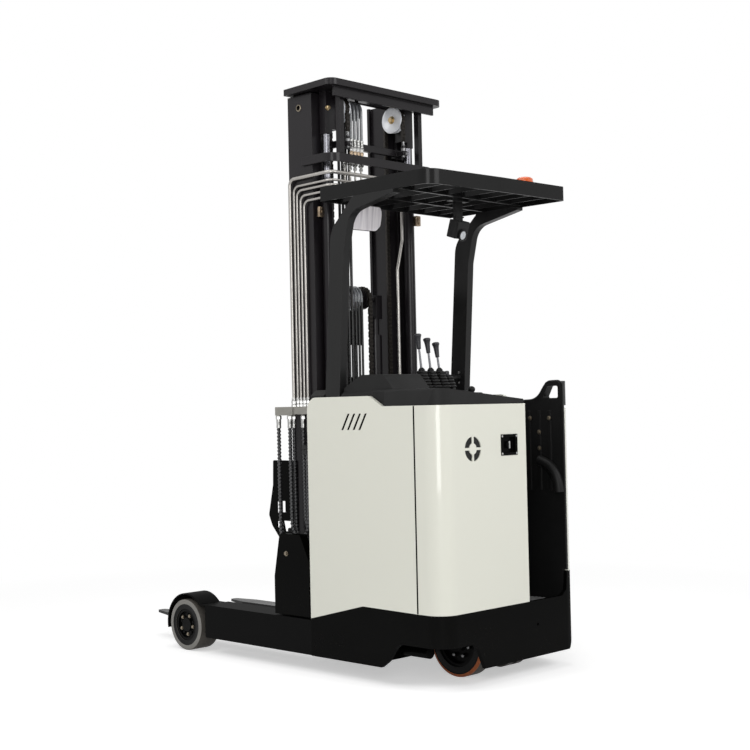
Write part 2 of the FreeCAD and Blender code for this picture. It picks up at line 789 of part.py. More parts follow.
def load_hub(side):
    y = (half_width - load_wheel_width + 4, half_width - 4)
    centre = Vector(load_wheel_x, 0, load_wheel_radius)
    hub = ring(centre + Vector(0, y[0], 0), centre + Vector(0, y[1], 0), load_hub_radius,
               axle_radius + fit_clearance)
    dish = ring(centre + Vector(0, y[1] - 14, 0), centre + Vector(0, y[1] + 1, 0), load_hub_radius - 14, 34)
    cap = rod(centre + Vector(0, y[1] - 10, 0), centre + Vector(0, y[1], 0), 30)
    bolts = []
    for index in range(5):
        angle = 2 * math.pi * index / 5
        place = centre + Vector(48 * math.sin(angle), y[1] - 15, 48 * math.cos(angle))
        bolts.append(rod(place, place + Vector(0, 10, 0), 7))
    hub = fused([hub.cut(dish), cap] + bolts)
    if side < 0:
        hub = mirrored(hub)
    return hub


# Drive unit: slewing ring, motor above the plate and gearcase beside the wheel.
def drive_unit():
    x = drive_x
    y = drive_y
    ring_low = drive_plate_z - 20
    slew = Part.makeCylinder(118, 20 - seat_gap, Vector(x, y, ring_low))
    neck = Part.makeCylinder(88, drive_plate + 24, Vector(x, y, ring_low + 10))
    motor = Part.makeCylinder(80, 250, Vector(x, y, drive_plate_z + drive_plate + 14))
    case_y = (y - drive_width / 2 - 62, y - drive_width / 2 - 10)
    case = prism("xz", [(x - 62, drive_radius - 62, 60), (x + 62, drive_radius - 62, 60),
                        (x + 80, ring_low + 2), (x - 80, ring_low + 2)], case_y[0], case_y[1])
    pin = rod(Vector(x, case_y[1] - 5, drive_radius),
              Vector(x, y + drive_width / 2 - 30, drive_radius), axle_radius)
    return fused([slew, neck, motor, case, pin])


def drive_tyre():
    y = (drive_y - drive_width / 2, drive_y + drive_width / 2)
    centre = Vector(drive_x, 0, drive_radius)
    return ring(centre + Vector(0, y[0], 0), centre + Vector(0, y[1], 0), drive_radius, drive_hub_radius)


def drive_hub():
    y = (drive_y - drive_width / 2 + 6, drive_y + drive_width / 2 - 8)
    centre = Vector(drive_x, 0, drive_radius)
    hub = ring(centre + Vector(0, y[0], 0), centre + Vector(0, y[1], 0), drive_hub_radius,
               axle_radius + fit_clearance)
    dish = ring(centre + Vector(0, y[1] - 22, 0), centre + Vector(0, y[1] + 1, 0), drive_hub_radius - 14, 36)
    cap = rod(centre + Vector(0, y[1] - 14, 0), centre + Vector(0, y[1] - 2, 0), 34)
    nuts = []
    for index in range(7):
        angle = 2 * math.pi * index / 7
        place = centre + Vector(60 * math.sin(angle), y[1] - 23, 60 * math.cos(angle))
        nuts.append(rod(place, place + Vector(0, 16, 0), 9))
    return fused([hub.cut(dish), cap] + nuts)


def caster_fork():
    top = floor_top - floor_plate - seat_gap
    x = caster_x
    wheel_x = caster_x + caster_trail
    plate = Part.makeCylinder(62, 14, Vector(x, caster_y, top - 14))
    neck = Part.makeCylinder(40, 40, Vector(x, caster_y, top - 46))
    width = caster_wheel_gap / 2 - 4
    leg_shape = prism("xz", [(x - 42, top - 40), (x + 42, top - 40), (wheel_x + 28, caster_radius - 28, 26),
                             (wheel_x - 28, caster_radius - 28, 26)],
                      caster_y - width, caster_y + width)
    bore = rod(Vector(wheel_x, caster_y - width - 1, caster_radius),
               Vector(wheel_x, caster_y + width + 1, caster_radius), caster_axle_radius + fit_clearance)
    return fused([plate, neck, leg_shape.cut(bore)])


def caster_wheels():
    centre = Vector(caster_x + caster_trail, caster_y, caster_radius)
    near = Vector(0, caster_wheel_gap / 2, 0)
    far = near + Vector(0, caster_wheel_width, 0)
    left = rod(centre + near, centre + far, caster_radius)
    right = rod(centre - near, centre - far, caster_radius)
    axle = rod(centre - near, centre + near, caster_axle_radius)
    return fused([left, right, axle])


# A rail section: web on the y of its middle, flanges front and rear, extruded upward.
def rail(x, y, web, flange, z):
    rear = block((x[0], x[0] + flange), y, z)
    front = block((x[1] - flange, x[1]), y, z)
    middle = block(x, web, z)
    return fused([rear, front, middle])


def mast_front():
    return mast_rear + mast_depth


def outer_section():
    y = (mast_half_width - outer_flange_width, mast_half_width)
    web = (mast_half_width - rail_web, mast_half_width)
    return (mast_rear, mast_front()), y, web


def middle_section():
    inset = rail_flange + rail_gap
    top_y = mast_half_width - rail_web - rail_gap - 1
    y = (top_y - middle_width, top_y)
    web_low = y[0] + 29
    return (mast_rear + inset, mast_front() - inset), y, (web_low, web_low + rail_web)


def inner_section():
    inset = rail_flange + rail_gap + inner_flange + rail_gap
    top_y = middle_section()[2][0] - rail_gap - 1
    y = (top_y - inner_width, top_y)
    rear = mast_rear + inset
    front = mast_front() - rail_flange - rail_gap + inner_step
    return (rear, front), y, (y[0] + inner_web_set_in, y[0] + inner_web_set_in + rail_web)


def outer_rail():
    x, y, web = outer_section()
    shape = rail(x, y, web, rail_flange, (rail_bottom, outer_top))
    hole = rod(Vector(lifting_hole_x, y[1] - rail_web - 1, lifting_hole_z),
               Vector(lifting_hole_x, y[1] + 1, lifting_hole_z), lifting_hole_radius)
    return shape.cut(hole)


# Fixed stage: two channels and two beams behind them.
def outer_mast():
    x, y, web = outer_section()
    parts = both_sides(outer_rail())
    for z in (outer_lower_z, outer_upper_z):
        parts.append(block((x[0], x[0] + outer_beam_thickness), (-y[0] - 2, y[0] + 2),
                           (z, z + outer_beam_height)))
    return fused(parts)


# Wear pads at the foot of a stage, on the front and rear of its flanges.
def wear_pads(x, y):
    z = (wear_pad_z, wear_pad_z + wear_pad_height)
    rear = block((x[0] - rail_gap + seat_gap, x[0] + 1), y, z)
    front = block((x[1] - 1, x[1] + rail_gap - seat_gap), y, z)
    return both_sides(rear) + both_sides(front)


# Middle stage with its two cross beams.
def middle_mast():
    x, y, web = middle_section()
    parts = both_sides(rail(x, y, web, inner_flange, (rail_bottom + 10, middle_top)))
    parts += wear_pads(x, (web[1] + 2, y[1] - 3))
    wide = mast_half_width - outer_flange_width - rail_gap - 2
    for z in (middle_lower_z, middle_upper_z):
        parts.append(block((x[0] - middle_beam_thickness, x[0] + 1), (-wide, wide),
                           (z, z + middle_beam_height)))
    return fused(parts)


# Innermost stage with its cross beams and the shelf under the free lift cylinders.
def inner_mast():
    x, y, web = inner_section()
    parts = both_sides(rail(x, y, web, inner_flange, (rail_bottom + 10, inner_top)))
    pad_y = (y[1] - 20, y[1] - 2)
    pad_z = (wear_pad_z, wear_pad_z + wear_pad_height)
    parts += both_sides(block((x[0] - rail_gap + seat_gap, x[0] + 1), pad_y, pad_z))
    parts += both_sides(block((middle_section()[0][1] + seat_gap, x[1] - inner_flange + 1), pad_y, pad_z))
    beam_x = x[0] + inner_beam_setback
    beams = [(inner_lower_z, inner_beam_height), (inner_anchor_z, inner_beam_height),
             (inner_top - inner_top_beam_height, inner_top_beam_height)]
    for z, height in beams:
        parts.append(block((beam_x, beam_x + inner_beam_thickness), (-y[0] - 4, y[0] + 4), (z, z + height)))
    wide = free_cylinder_y + free_barrel_radius
    parts.append(block((beam_x, free_cylinder_x + free_barrel_radius), (-wide, wide),
                       (inner_lower_z, inner_lower_z + 8)))
    return fused(parts)


# Flat bar bent round the back of the mast, its legs on the outer rails.
def mast_bar():
    y = mast_half_width + bar_thickness
    outer = prism("xy", [(bar_front, -y), (bar_rear, -y, 60), (bar_rear, y, 60), (bar_front, y)],
                  bar_z, bar_z + bar_height)
    inner_y = mast_half_width
    inner = prism("xy", [(bar_front + 1, -inner_y), (bar_rear + bar_thickness, -inner_y, 48),
                         (bar_rear + bar_thickness, inner_y, 48), (bar_front + 1, inner_y)],
                  bar_z - 1, bar_z + bar_height + 1)
    return outer.cut(inner)


# Beam that holds the fixed ends of the lift chains, on two bent arms from the outer channels.
def anchor_beam():
    x = (anchor_beam_x, anchor_beam_x + anchor_beam_depth)
    z = (anchor_beam_z, anchor_beam_z + anchor_beam_height)
    wide = chain_y + 14
    arm_x = (mast_rear + 2, mast_rear + 2 + anchor_arm)
    parts = [block(x, (-wide - anchor_arm, wide + anchor_arm), z)]
    parts += both_sides(block((x[0], arm_x[1]), (wide, wide + anchor_arm), z))
    parts += both_sides(block(arm_x, (wide, mast_half_width - outer_flange_width), z))
    place = Vector(sheave_x - sheave_radius, chain_y, anchor_beam_z - 10)
    stud = Part.makeCylinder(6, 80, place)
    nut = Part.makeCylinder(9.5, 28, place + Vector(0, 0, 32))
    lug = block((place.x - 14, x[0] + 1), (chain_y - 14, chain_y + 14), (anchor_beam_z, anchor_beam_z + 22))
    parts += both_sides(fused([stud, nut, lug]))
    return fused(parts)


def lift_barrels():
    low = rail_bottom + seat_gap
    foot = Vector(lift_cylinder_x, lift_cylinder_y, low)
    top = Vector(lift_cylinder_x, lift_cylinder_y, lift_barrel_top)
    barrel = rod(foot, top, lift_barrel_radius)
    bore = rod(foot + Vector(0, 0, 12), top + Vector(0, 0, 1), lift_rod_radius + 1)
    return group(both_sides(barrel.cut(bore)))


def lift_rods():
    shape = rod(Vector(lift_cylinder_x, lift_cylinder_y, rail_bottom + 20),
                Vector(lift_cylinder_x, lift_cylinder_y, rod_top), lift_rod_radius)
    return group(both_sides(shape))


def mast_head_inner_y():
    return lift_cylinder_y + lift_rod_radius + 2 - mast_head_width


# Crosshead of the middle stage: top plate open in front for the inner stage, two posts, a
# stiffener and the stepped heads on the lift rods.
def top_crosshead():
    w = top_plate_half_width
    z = (middle_top, middle_top + top_plate)
    plate = prism("xy", [(top_plate_front, -w + 12), (top_plate_rear, -w, 40), (top_plate_rear, w, 40),
                         (top_plate_front, w - 12)], z[0], z[1])
    notch_y = middle_section()[2][0] - 1
    notch = block((plate_notch_x, top_plate_front + 1), (-notch_y, notch_y), (z[0] - 1, z[1] + 1))
    slot_x = (top_plate_rear + 85, top_plate_rear + 155)
    slot = prism("xy", [(slot_x[0], -w + 22, 7), (slot_x[1], -w + 22, 7), (slot_x[1], -w + 38, 7),
                        (slot_x[0], -w + 38, 7)], z[0] - 1, z[1] + 1)
    post_low = bar_z + bar_height + reach_clearance
    post = block((mast_post_x, mast_post_x + mast_post_depth),
                 (mast_post_inner_y, mast_post_inner_y + mast_post_width), (post_low, middle_top))
    head_y = mast_head_inner_y()
    ledge = rod_top + mast_head_ledge
    head = prism("yz", [(head_y, ledge), (head_y + mast_head_step, ledge), (head_y + mast_head_step, rod_top),
                        (head_y + mast_head_width, rod_top), (head_y + mast_head_width, middle_top),
                        (head_y, middle_top)], mast_head_x, mast_head_x + mast_head_depth)
    stiffener = block((top_plate_rear + 25, top_plate_rear + 37), (-w + 45, w - 45), (middle_top - 45, middle_top))
    return fused([plate.cut(notch).cut(slot), stiffener] + both_sides(post) + both_sides(head))


def chain_sheaves():
    inner = chain_y - chain_width / 2 - 8
    groove_y = chain_y - chain_width / 2
    outer = chain_y + chain_width / 2
    disc = rod(Vector(sheave_x, inner, sheave_z), Vector(sheave_x, groove_y, sheave_z), sheave_radius + 6)
    groove = rod(Vector(sheave_x, groove_y, sheave_z), Vector(sheave_x, outer, sheave_z),
                 sheave_radius - chain_thickness / 2)
    nut = rod(Vector(sheave_x, inner + 1, sheave_z), Vector(sheave_x, inner - 10, sheave_z), 15)
    stub = rod(Vector(sheave_x, outer - 1, sheave_z), Vector(sheave_x, mast_head_inner_y() - seat_gap, sheave_z), 16)
    return group(both_sides(fused([disc, groove, nut, stub])))


def chain_run(x, y, z):
    half = chain_thickness / 2
    return block((x - half, x + half), (y - chain_width / 2, y + chain_width / 2), z)


# Gaps between the links on the rear face of a run, one every pitch upward from z.
def link_gaps(x, y, z, count):
    face = x - chain_thickness / 2
    gaps = []
    for index in range(count):
        low = z + (index + 0.5) * chain_pitch
        gaps.append(block((face - 1, face + link_gap_depth), (y - chain_width, y + chain_width),
                          (low, low + link_gap)))
    return gaps


# Half turn of a chain over a sheave.
def chain_arc(x, y, z, radius):
    half = chain_thickness / 2
    low = Vector(x, y - chain_width / 2, z)
    high = Vector(x, y + chain_width / 2, z)
    whole = ring(low, high, radius + half, radius - half + seat_gap)
    upper = block((x - 2 * radius, x + 2 * radius), (low.y, high.y), (z, z + 2 * radius))
    return whole.common(upper)


def lift_chains():
    rear_x = sheave_x - sheave_radius
    front_x = sheave_x + sheave_radius
    rear_low = anchor_beam_z + 75
    rear = chain_run(rear_x, chain_y, (rear_low, sheave_z))
    front = chain_run(front_x, chain_y, (inner_lower_z + inner_beam_height + 10, sheave_z))
    over = chain_arc(sheave_x, chain_y, sheave_z, sheave_radius)
    gaps = link_gaps(rear_x, chain_y, rear_low, int((sheave_z - rear_low) / chain_pitch))
    gaps += link_gaps(front_x, chain_y, sheave_z - front_links * chain_pitch, front_links)
    return group(both_sides(fused([rear, front, over]).cut(Part.makeCompound(gaps))))


# Four hoses over a carrier at the head of the mast.
def top_hoses():
    rear = top_hose_rear
    front = top_hose_front
    radius = top_hose_radius
    bend = (front - rear) / 2 - 1
    low = middle_upper_z + middle_beam_height + seat_gap
    pieces = []
    for index in range(4):
        y = top_hose_first_y - index * top_hose_pitch
        hose = tube([Vector(rear, y, rod_top - 20), Vector(rear, y, top_hose_top), Vector(front, y, top_hose_top),
                     Vector(front, y, low)], radius, bend)
        fitting = rod(Vector(rear, y, rod_top - 76), Vector(rear, y, rod_top - 14), radius + 2.5)
        pieces.append(fused([hose, fitting]))
    first = top_hose_first_y + radius
    last = top_hose_first_y - 3 * top_hose_pitch - radius
    centre = Vector((rear + front) / 2, last - 2, top_hose_top - bend)
    carrier = rod(centre, Vector(centre.x, first + 1, centre.z), bend - radius - 0.5)
    hanger = block((centre.x - 8, centre.x + 8), (centre.y - 12, centre.y + 1), (centre.z - 15, middle_top))
    pieces.append(fused([carrier, hanger]))
    return group(pieces)


# Five steel pipes up the left rail and round behind the mast.
def steel_pipes():
    pieces = []
    table = [  # vertical place behind the mast front, offset from the rail, top z, radius, end y
        (20.5, 14, 2289, 9, -mast_half_width + 303),
        (46.5, 12, 2252, 6, mast_half_width - 193),
        (68.5, 12, 2230, 6, mast_half_width - 128),
        (92.5, 12, 2203, 6, mast_half_width - 128),
        (116.5, 12, 2176, 6, mast_half_width - 128),
    ]
    low = manifold_bottom + manifold_height
    for behind, offset, top, radius, end_y in table:
        x = mast_front() - behind
        y = mast_half_width + offset
        pieces.append(tube([Vector(x, y, low), Vector(x, y, top), Vector(pipe_back_x, y, top + 4),
                            Vector(pipe_back_x, end_y, top + 4)], radius, 32))
    pieces.append(supply_pipe())
    return group(pieces)


# Bent pipe behind the mast on the right, from the beam of the fixed stage to the lift barrel.
def supply_pipe():
    x = supply_pipe_x
    low_y = mast_half_width - 180
    high_y = mast_half_width - 142
    barrel_y = lift_cylinder_y - lift_barrel_radius + 6.4
    low = outer_upper_z + 50
    path = [Vector(x, -barrel_y, 2183), Vector(x, -high_y, 2183), Vector(x, -high_y, 2024), Vector(x, -low_y, 1874),
            Vector(x, -low_y, low), Vector(mast_rear - seat_gap, -low_y, low)]
    return tube(path, supply_pipe_radius, 22)


HOSES = [  # offset from the rail, drop and return behind or before the mast front, lowest z
    (49, 53.5, -180.5, 560),
    (49, -26.5, -143.5, 605),
    (29, -32.5, -158.5, 590),
    (29, -98.5, -136.5, 650),
]


def manifold():
    y = (mast_half_width, mast_half_width + manifold_depth)
    front = mast_front() + 68.5
    z = (manifold_bottom, manifold_bottom + manifold_height)
    body = block((front - 123, front), y, z)
    tail = prism("xz", [(front - 240, z[0] + 4, 16), (front - 122, z[0] + 4), (front - 122, z[1]),
                        (front - 240, z[1], 16)], y[0], y[1] - 6)
    fittings = []
    for offset, drop, back, low in HOSES:
        x = mast_front() + drop
        foot = Vector(x, mast_half_width + offset, manifold_bottom + 5 - hose_fitting_height)
        fittings.append(rod(foot, foot + Vector(0, 0, hose_fitting_height), hanging_hose_radius + 2))
    return fused([body, tail] + fittings)


# Hoses that hang from the manifold in nested loops, and the clamp they come back to.
def hanging_hoses():
    pieces = []
    start = manifold_bottom + 5 - hose_fitting_height
    for offset, drop, back, low in HOSES:
        y = mast_half_width + offset
        drop_x = mast_front() + drop
        back_x = mast_front() + back
        bend = (drop - back) / 2 - 1
        pieces.append(tube([Vector(drop_x, y, start), Vector(drop_x, y, low), Vector(back_x, y, low),
                            Vector(back_x, y, clamp_z)], hanging_hose_radius, bend))
    clamp_x = mast_rear - 37.5
    pieces.append(block((clamp_x, clamp_x + 86), (mast_half_width, mast_half_width + 59),
                        (clamp_z, clamp_z + clamp_height)))
    return group(pieces)


# Plate on the side of the channel behind the hanging hoses, with five windows.
def hose_guide():
    y = (mast_half_width + seat_gap, mast_half_width + seat_gap + 8)
    x = mast_front()
    outline = [(x - 17.5, 957, 8), (x + 147.5, 957, 8), (x + 151.5, 838, 20), (x + 184.5, 694, 25),
               (x + 161.5, 643, 20), (x + 96.5, 571, 12), (x - 17.5, 574, 10)]
    plate = prism("xz", outline, y[0], y[1])
    windows = [  # rear, front, bottom, top, lean of the top
        (107.5, 125.5, 705, 759, 0),
        (64.5, 90.5, 709, 763, 0),
        (6.5, 12.5, 714, 765, 0),
        (98.5, 126.5, 635, 665, 0),
        (8.5, 69.5, 619, 669, 13),
    ]
    for rear, front, low, high, lean in windows:
        window = prism("xz", [(x + rear, low, 2), (x + front, low, 2), (x + front + lean, high, 2),
                              (x + rear + lean, high, 2)], y[0] - 1, y[1] + 1)
        plate = plate.cut(window)
    return plate


# Carriage that rolls in the legs: side plates, shelves under the mast, hangers with rollers,
# a cross member and the rod of the reach cylinder.
def reach_carriage():
    low_y = leg_inner_y - reach_clearance
    z_top = leg_top + reach_clearance
    side_y = (reach_side_y - reach_side_width, reach_side_y)
    outer = prism("xz", [(reach_rear, z_top), (reach_front, z_top), (reach_front, z_top + 175, 20),
                         (reach_front - 40, z_top + 375, 20), (reach_rear + 60, z_top + 375, 20),
                         (reach_rear, z_top + 255, 20)], side_y[0], side_y[1])
    shelf = block((reach_rear, reach_front), (mast_half_width - outer_flange_width, side_y[1]), (z_top, rail_bottom))
    web = block((reach_rear, reach_front), (mast_half_width, side_y[0] + 1), (z_top, 330))
    hanger = block((reach_rear, hanger_front), (low_y - 14, low_y), (100, rail_bottom))
    foot = block((reach_rear, hanger_front), (mast_half_width - 75, low_y), (z_top - 12, rail_bottom))
    parts = [outer, shelf, web, hanger, foot]
    for x in (reach_rear + reach_roller_radius + 4, hanger_front - reach_roller_radius - 6):
        parts.append(rod(Vector(x, low_y - 1, 160), Vector(x, low_y + 55, 160), reach_roller_radius))
    cross = block((reach_rear, reach_rear + reach_cross_thickness), (-low_y + 2, low_y - 2), (110, rail_bottom))
    piston = rod(Vector(reach_barrel_rear + 22, reach_cylinder_y, reach_cylinder_z),
                 Vector(reach_rear + 3, reach_cylinder_y, reach_cylinder_z), reach_rod_radius)
    return fused(both_sides(fused(parts)) + [cross, piston])


def free_lift_barrels():
    foot = Vector(free_cylinder_x, free_cylinder_y, inner_lower_z + 8 + seat_gap)
    top = Vector(free_cylinder_x, free_cylinder_y, free_barrel_top)
    barrel = rod(foot, top, free_barrel_radius)
    bore = rod(foot + Vector(0, 0, 14), top + Vector(0, 0, 1), free_rod_radius + 1)
    return group(both_sides(barrel.cut(bore)))


# Head on the two free lift rods, with two chain sheaves and a hose roller on one shaft.
def free_lift_head():
    x = free_cylinder_x
    z = head_z + head_sheave_rise
    piston = rod(Vector(x, free_cylinder_y, inner_lower_z + 40), Vector(x, free_cylinder_y, head_z), free_rod_radius)
    end = block((x - 25, x + 25), (free_cylinder_y - 16, free_cylinder_y + 26), (head_z - 15, z + 22))
    parts = both_sides(piston) + both_sides(end)
    for y in free_chain_y:
        parts.append(rod(Vector(x, y - 12, z), Vector(x, y + 12, z), head_sheave_radius))
    roller = (hose_roller_y - hose_roller_width / 2, hose_roller_y + hose_roller_width / 2)
    parts.append(rod(Vector(x, roller[0], z), Vector(x, roller[1], z), head_sheave_radius))
    parts.append(rod(Vector(x, -free_cylinder_y, z), Vector(x, free_cylinder_y, z), head_shaft_radius))
    shield_x = x - 45
    cheek = 6
    for y in (roller[0] - 1 - cheek, roller[1] + 1):
        parts.append(block((shield_x, x + 14), (y, y + cheek), (head_z, z + 14)))
        parts.append(block((shield_x, shield_x + cheek), (y, y + cheek), (head_z - 150, head_z + 10)))
    parts.append(block((shield_x, shield_x + cheek), (roller[0] - 1 - cheek, roller[1] + 1 + cheek),
                       (head_z - 150, head_z + 20)))
    return fused(parts)


def free_lift_chains():
    pieces = []
    z = head_z + head_sheave_rise
    radius = head_sheave_radius + chain_thickness / 2
    rear_x = free_cylinder_x - radius
    for y in free_chain_y:
        rear = chain_run(rear_x, y, (inner_anchor_z + 10, z))
        front = chain_run(free_cylinder_x + radius, y, (carriage_top - 60, z))
        gaps = link_gaps(rear_x, y, z - free_links * chain_pitch, free_links)
        whole = fused([rear, front, chain_arc(free_cylinder_x, y, z, radius)])
        pieces.append(whole.cut(Part.makeCompound(gaps)))
    return group(pieces)


def head_hoses():
    pieces = []
    z = head_z + head_sheave_rise
    radius = head_sheave_radius + head_hose_radius + seat_gap
    rear = free_cylinder_x - radius
    front = free_cylinder_x + radius
    for index in range(4):
        y = hose_roller_y + (1.5 - index) * head_hose_pitch
        pieces.append(tube([Vector(rear, y, 1250), Vector(rear, y, z + radius), Vector(front, y, z + radius),
                            Vector(front, y, carriage_top + 20)], head_hose_radius, radius - 0.5))
    return group(pieces)


# Carriage between the inner rails: two side plates with rollers, two bars and the tilt lugs.
def fork_carriage():
    x_in, y_in, web = inner_section()
    plate_y = y_in[0] - rail_gap
    rear = x_in[0] + carriage_setback
    low = carriage_bottom + 60
    plate = prism("xz", [(rear, low + 70, 20), (carriage_front, low), (carriage_front, carriage_top),
                         (rear, carriage_top, 20)], plate_y - carriage_plate, plate_y)
    parts = [plate]
    centre = x_in[1] - inner_flange - seat_gap - carriage_roller_radius
    for z in (330, 570):
        parts.append(rod(Vector(centre, plate_y - 1, z), Vector(centre, web[0] - 4, z), carriage_roller_radius))
    lug_y = (plate_y - 77, plate_y - 57)
    lug_radius = tilt_pin_radius + 6
    parts.append(block((carriage_front - carriage_bar, tilt_pin_x + lug_radius), lug_y,
                       (carriage_top - 120, tilt_pin_z)))
    parts.append(rod(Vector(tilt_pin_x, lug_y[0], tilt_pin_z), Vector(tilt_pin_x, lug_y[1], tilt_pin_z), lug_radius))
    parts.append(rod(Vector(tilt_pin_x, lug_y[0], tilt_pin_z), Vector(tilt_pin_x, plate_y - 25, tilt_pin_z), tilt_pin_radius))
    bars = []
    for z in (low, carriage_top - 150):
        bars.append(block((carriage_front - carriage_bar, carriage_front), (-plate_y, plate_y),
                          (z, z + carriage_bar_height)))
    return fused(parts + [mirrored(p) for p in parts] + bars)


# Frame that carries the forks: two bars, two uprights and the plates that turn on the tilt pins.
def tilt_frame():
    front = fork_heel_x - seat_gap
    rear = front - tilt_frame_depth
    bar_y = fork_spread / 2 + 4
    parts = []
    for z in (carriage_bottom + 20, carriage_top - 60):
        parts.append(block((rear, front), (-bar_y, bar_y), (z, z + 60)))
    plate_y = inner_section()[1][0] - rail_gap
    upright = block((rear, front), (plate_y - 89, plate_y - 65), (carriage_bottom + 20, carriage_top))
    hinge = prism("xz", [(tilt_pin_x - 18, tilt_pin_z - 18, 12), (rear + 1, tilt_pin_z - 18),
                         (rear + 1, tilt_pin_z + 18), (tilt_pin_x - 18, tilt_pin_z + 18, 12)],
                  plate_y - 47, plate_y - 27)
    bore = rod(Vector(tilt_pin_x, plate_y - 48, tilt_pin_z), Vector(tilt_pin_x, plate_y - 26, tilt_pin_z),
               tilt_pin_radius + fit_clearance)
    return fused(parts + both_sides(upright) + both_sides(hinge.cut(bore)))


def fork(side):
    outer = fork_spread / 2
    y = (outer - fork_width, outer)
    bottom = fork_top - fork_thickness
    heel = fork_heel_x
    tip = overall_length
    shank = prism("xz", [(heel, bottom, 30), (heel + 300, bottom), (tip, fork_top - fork_tip_thickness),
                         (tip, fork_top), (heel + fork_thickness, fork_top, 12),
                         (heel + fork_thickness, carriage_top + 10, 10), (heel, carriage_top + 10)], y[0], y[1])
    taper = 28
    point = prism("xy", [(heel - 1, y[0]), (tip - 140, y[0]), (tip, y[0] + taper, 18), (tip, y[1] - taper, 18),
                         (tip - 140, y[1]), (heel - 1, y[1])], 0, carriage_top + 50)
    shape = shank.common(point)
    if side < 0:
        shape = mirrored(shape)
    return shape


def build():
    os.makedirs("parts", exist_ok=True)
    export("base_skirt", base_skirt())
    export("chassis_frame", chassis_frame())
    export("battery", battery())
    export("rear_panel_left", rear_panel_left())
    export("rear_panel_right", rear_panel_right())
    export("emergency_switch", emergency_switch())
    export("floor_mat", operator_floor())
    export("compartment_liner", compartment_liner())
    export("right_wall", right_wall())
    export("console_cover", console_cover())
    export("levers", lever_bank())
    export("steering_wheel", steering_wheel())
    export("overhead_guard", overhead_guard())
    export("beacon", beacon())
    export("work_light", work_light())
    export("mirror", mirror())
    export("drive_unit", drive_unit())
    export("drive_tyre", drive_tyre())
    export("drive_hub", drive_hub())
    export("caster_fork", caster_fork())
    export("caster_wheels", caster_wheels())
    for name, side in (("left", 1), ("right", -1)):
        export("side_panel_" + name, side_panel(side))
        export("guard_post_" + name, guard_post(side))
        export("leg_" + name, leg(side))
        export("wheel_fender_" + name, wheel_fender(side))
        export("load_tyre_" + name, load_tyre(side))
        export("load_hub_" + name, load_hub(side))
        export("fork_" + name, fork(side))
    export("outer_mast", outer_mast())
    export("middle_mast", middle_mast())
    export("inner_mast", inner_mast())
    export("mast_bar", mast_bar())
    export("anchor_beam", anchor_beam())
    export("lift_barrels", lift_barrels())
    export("lift_rods", lift_rods())
    export("top_crosshead", top_crosshead())
    export("chain_sheaves", chain_sheaves())
    export("lift_chains", lift_chains())
    export("top_hoses", top_hoses())
    export("steel_pipes", steel_pipes())
    export("manifold", manifold())
    export("hanging_hoses", hanging_hoses())
    export("hose_guide", hose_guide())
    export("reach_carriage", reach_carriage())
    export("free_lift_barrels", free_lift_barrels())
    export("free_lift_head", free_lift_head())
    export("free_lift_chains", free_lift_chains())
    export("head_hoses", head_hoses())
    export("fork_carriage", fork_carriage())
    export("tilt_frame", tilt_frame())


build()
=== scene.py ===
import json
import math

import bmesh
import bpy
from mathutils import Matrix, Vector


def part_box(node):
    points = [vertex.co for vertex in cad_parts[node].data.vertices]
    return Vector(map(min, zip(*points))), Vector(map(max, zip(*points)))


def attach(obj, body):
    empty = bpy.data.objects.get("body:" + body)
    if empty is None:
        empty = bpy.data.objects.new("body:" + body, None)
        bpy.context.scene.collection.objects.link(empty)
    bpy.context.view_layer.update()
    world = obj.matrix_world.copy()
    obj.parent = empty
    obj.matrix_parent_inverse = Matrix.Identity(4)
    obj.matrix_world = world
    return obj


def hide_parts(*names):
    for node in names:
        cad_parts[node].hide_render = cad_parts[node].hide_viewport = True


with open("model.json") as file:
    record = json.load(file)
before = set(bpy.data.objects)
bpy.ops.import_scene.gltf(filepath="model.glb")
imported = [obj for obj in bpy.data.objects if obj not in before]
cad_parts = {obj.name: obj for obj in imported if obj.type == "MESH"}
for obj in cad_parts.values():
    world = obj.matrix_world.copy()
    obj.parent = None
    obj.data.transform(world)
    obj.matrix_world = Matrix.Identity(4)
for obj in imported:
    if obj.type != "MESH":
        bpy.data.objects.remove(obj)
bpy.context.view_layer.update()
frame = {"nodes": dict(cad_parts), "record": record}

# Camera in the frame's metres and in radians: behind the truck on its left, at chest height.
CAMERA_PLACE = Vector((-4.8527, 4.5987, 1.2))
CAMERA_LENS = 64.41
CAMERA_TURN = 0.78989
CAMERA_PITCH = 0.02425
CAMERA_ROLL = -0.021514

# The truck's own millimetres: x from the rear face of the chassis, y to its left, z from the floor.
REAR_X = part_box("base_skirt")[0].x
MM = 0.001


# Lowest and highest corner of a CAD node, to a tenth of a millimetre.
def truck_box(node):
    rear = Vector((REAR_X, 0, 0))
    return [Vector([round(value, 1) for value in (corner - rear) / MM]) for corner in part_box(node)]


def truck_middle(node):
    low, high = truck_box(node)
    return (low + high) / 2


# Places that the pieces take from the CAD
HALF_WIDTH = truck_box("base_skirt")[1].y
SHEAVE = truck_middle("chain_sheaves")
ANCHOR_TOP = truck_box("anchor_beam")[1].z
MANIFOLD_TOP = truck_box("manifold")[1].z
FREE_HEAD_X = truck_middle("free_lift_barrels").x
FREE_HEAD_TOP = truck_box("free_lift_head")[1].z
WALL_FACE_Y = truck_box("right_wall")[1].y
STEERING = truck_middle("steering_wheel")
DRIVE = truck_middle("drive_tyre")
DRIVE_FACE_Y = truck_box("drive_tyre")[1].y
LOAD = truck_middle("load_tyre_left")


# Shader helpers

def mix_colour(tree, factor, first, second):
    node = tree.nodes.new("ShaderNodeMix")
    node.data_type = "RGBA"
    node.inputs["A"].default_value = (*first, 1.0)
    node.inputs["B"].default_value = (*second, 1.0)
    tree.links.new(factor, node.inputs["Factor"])
    return node.outputs["Result"]


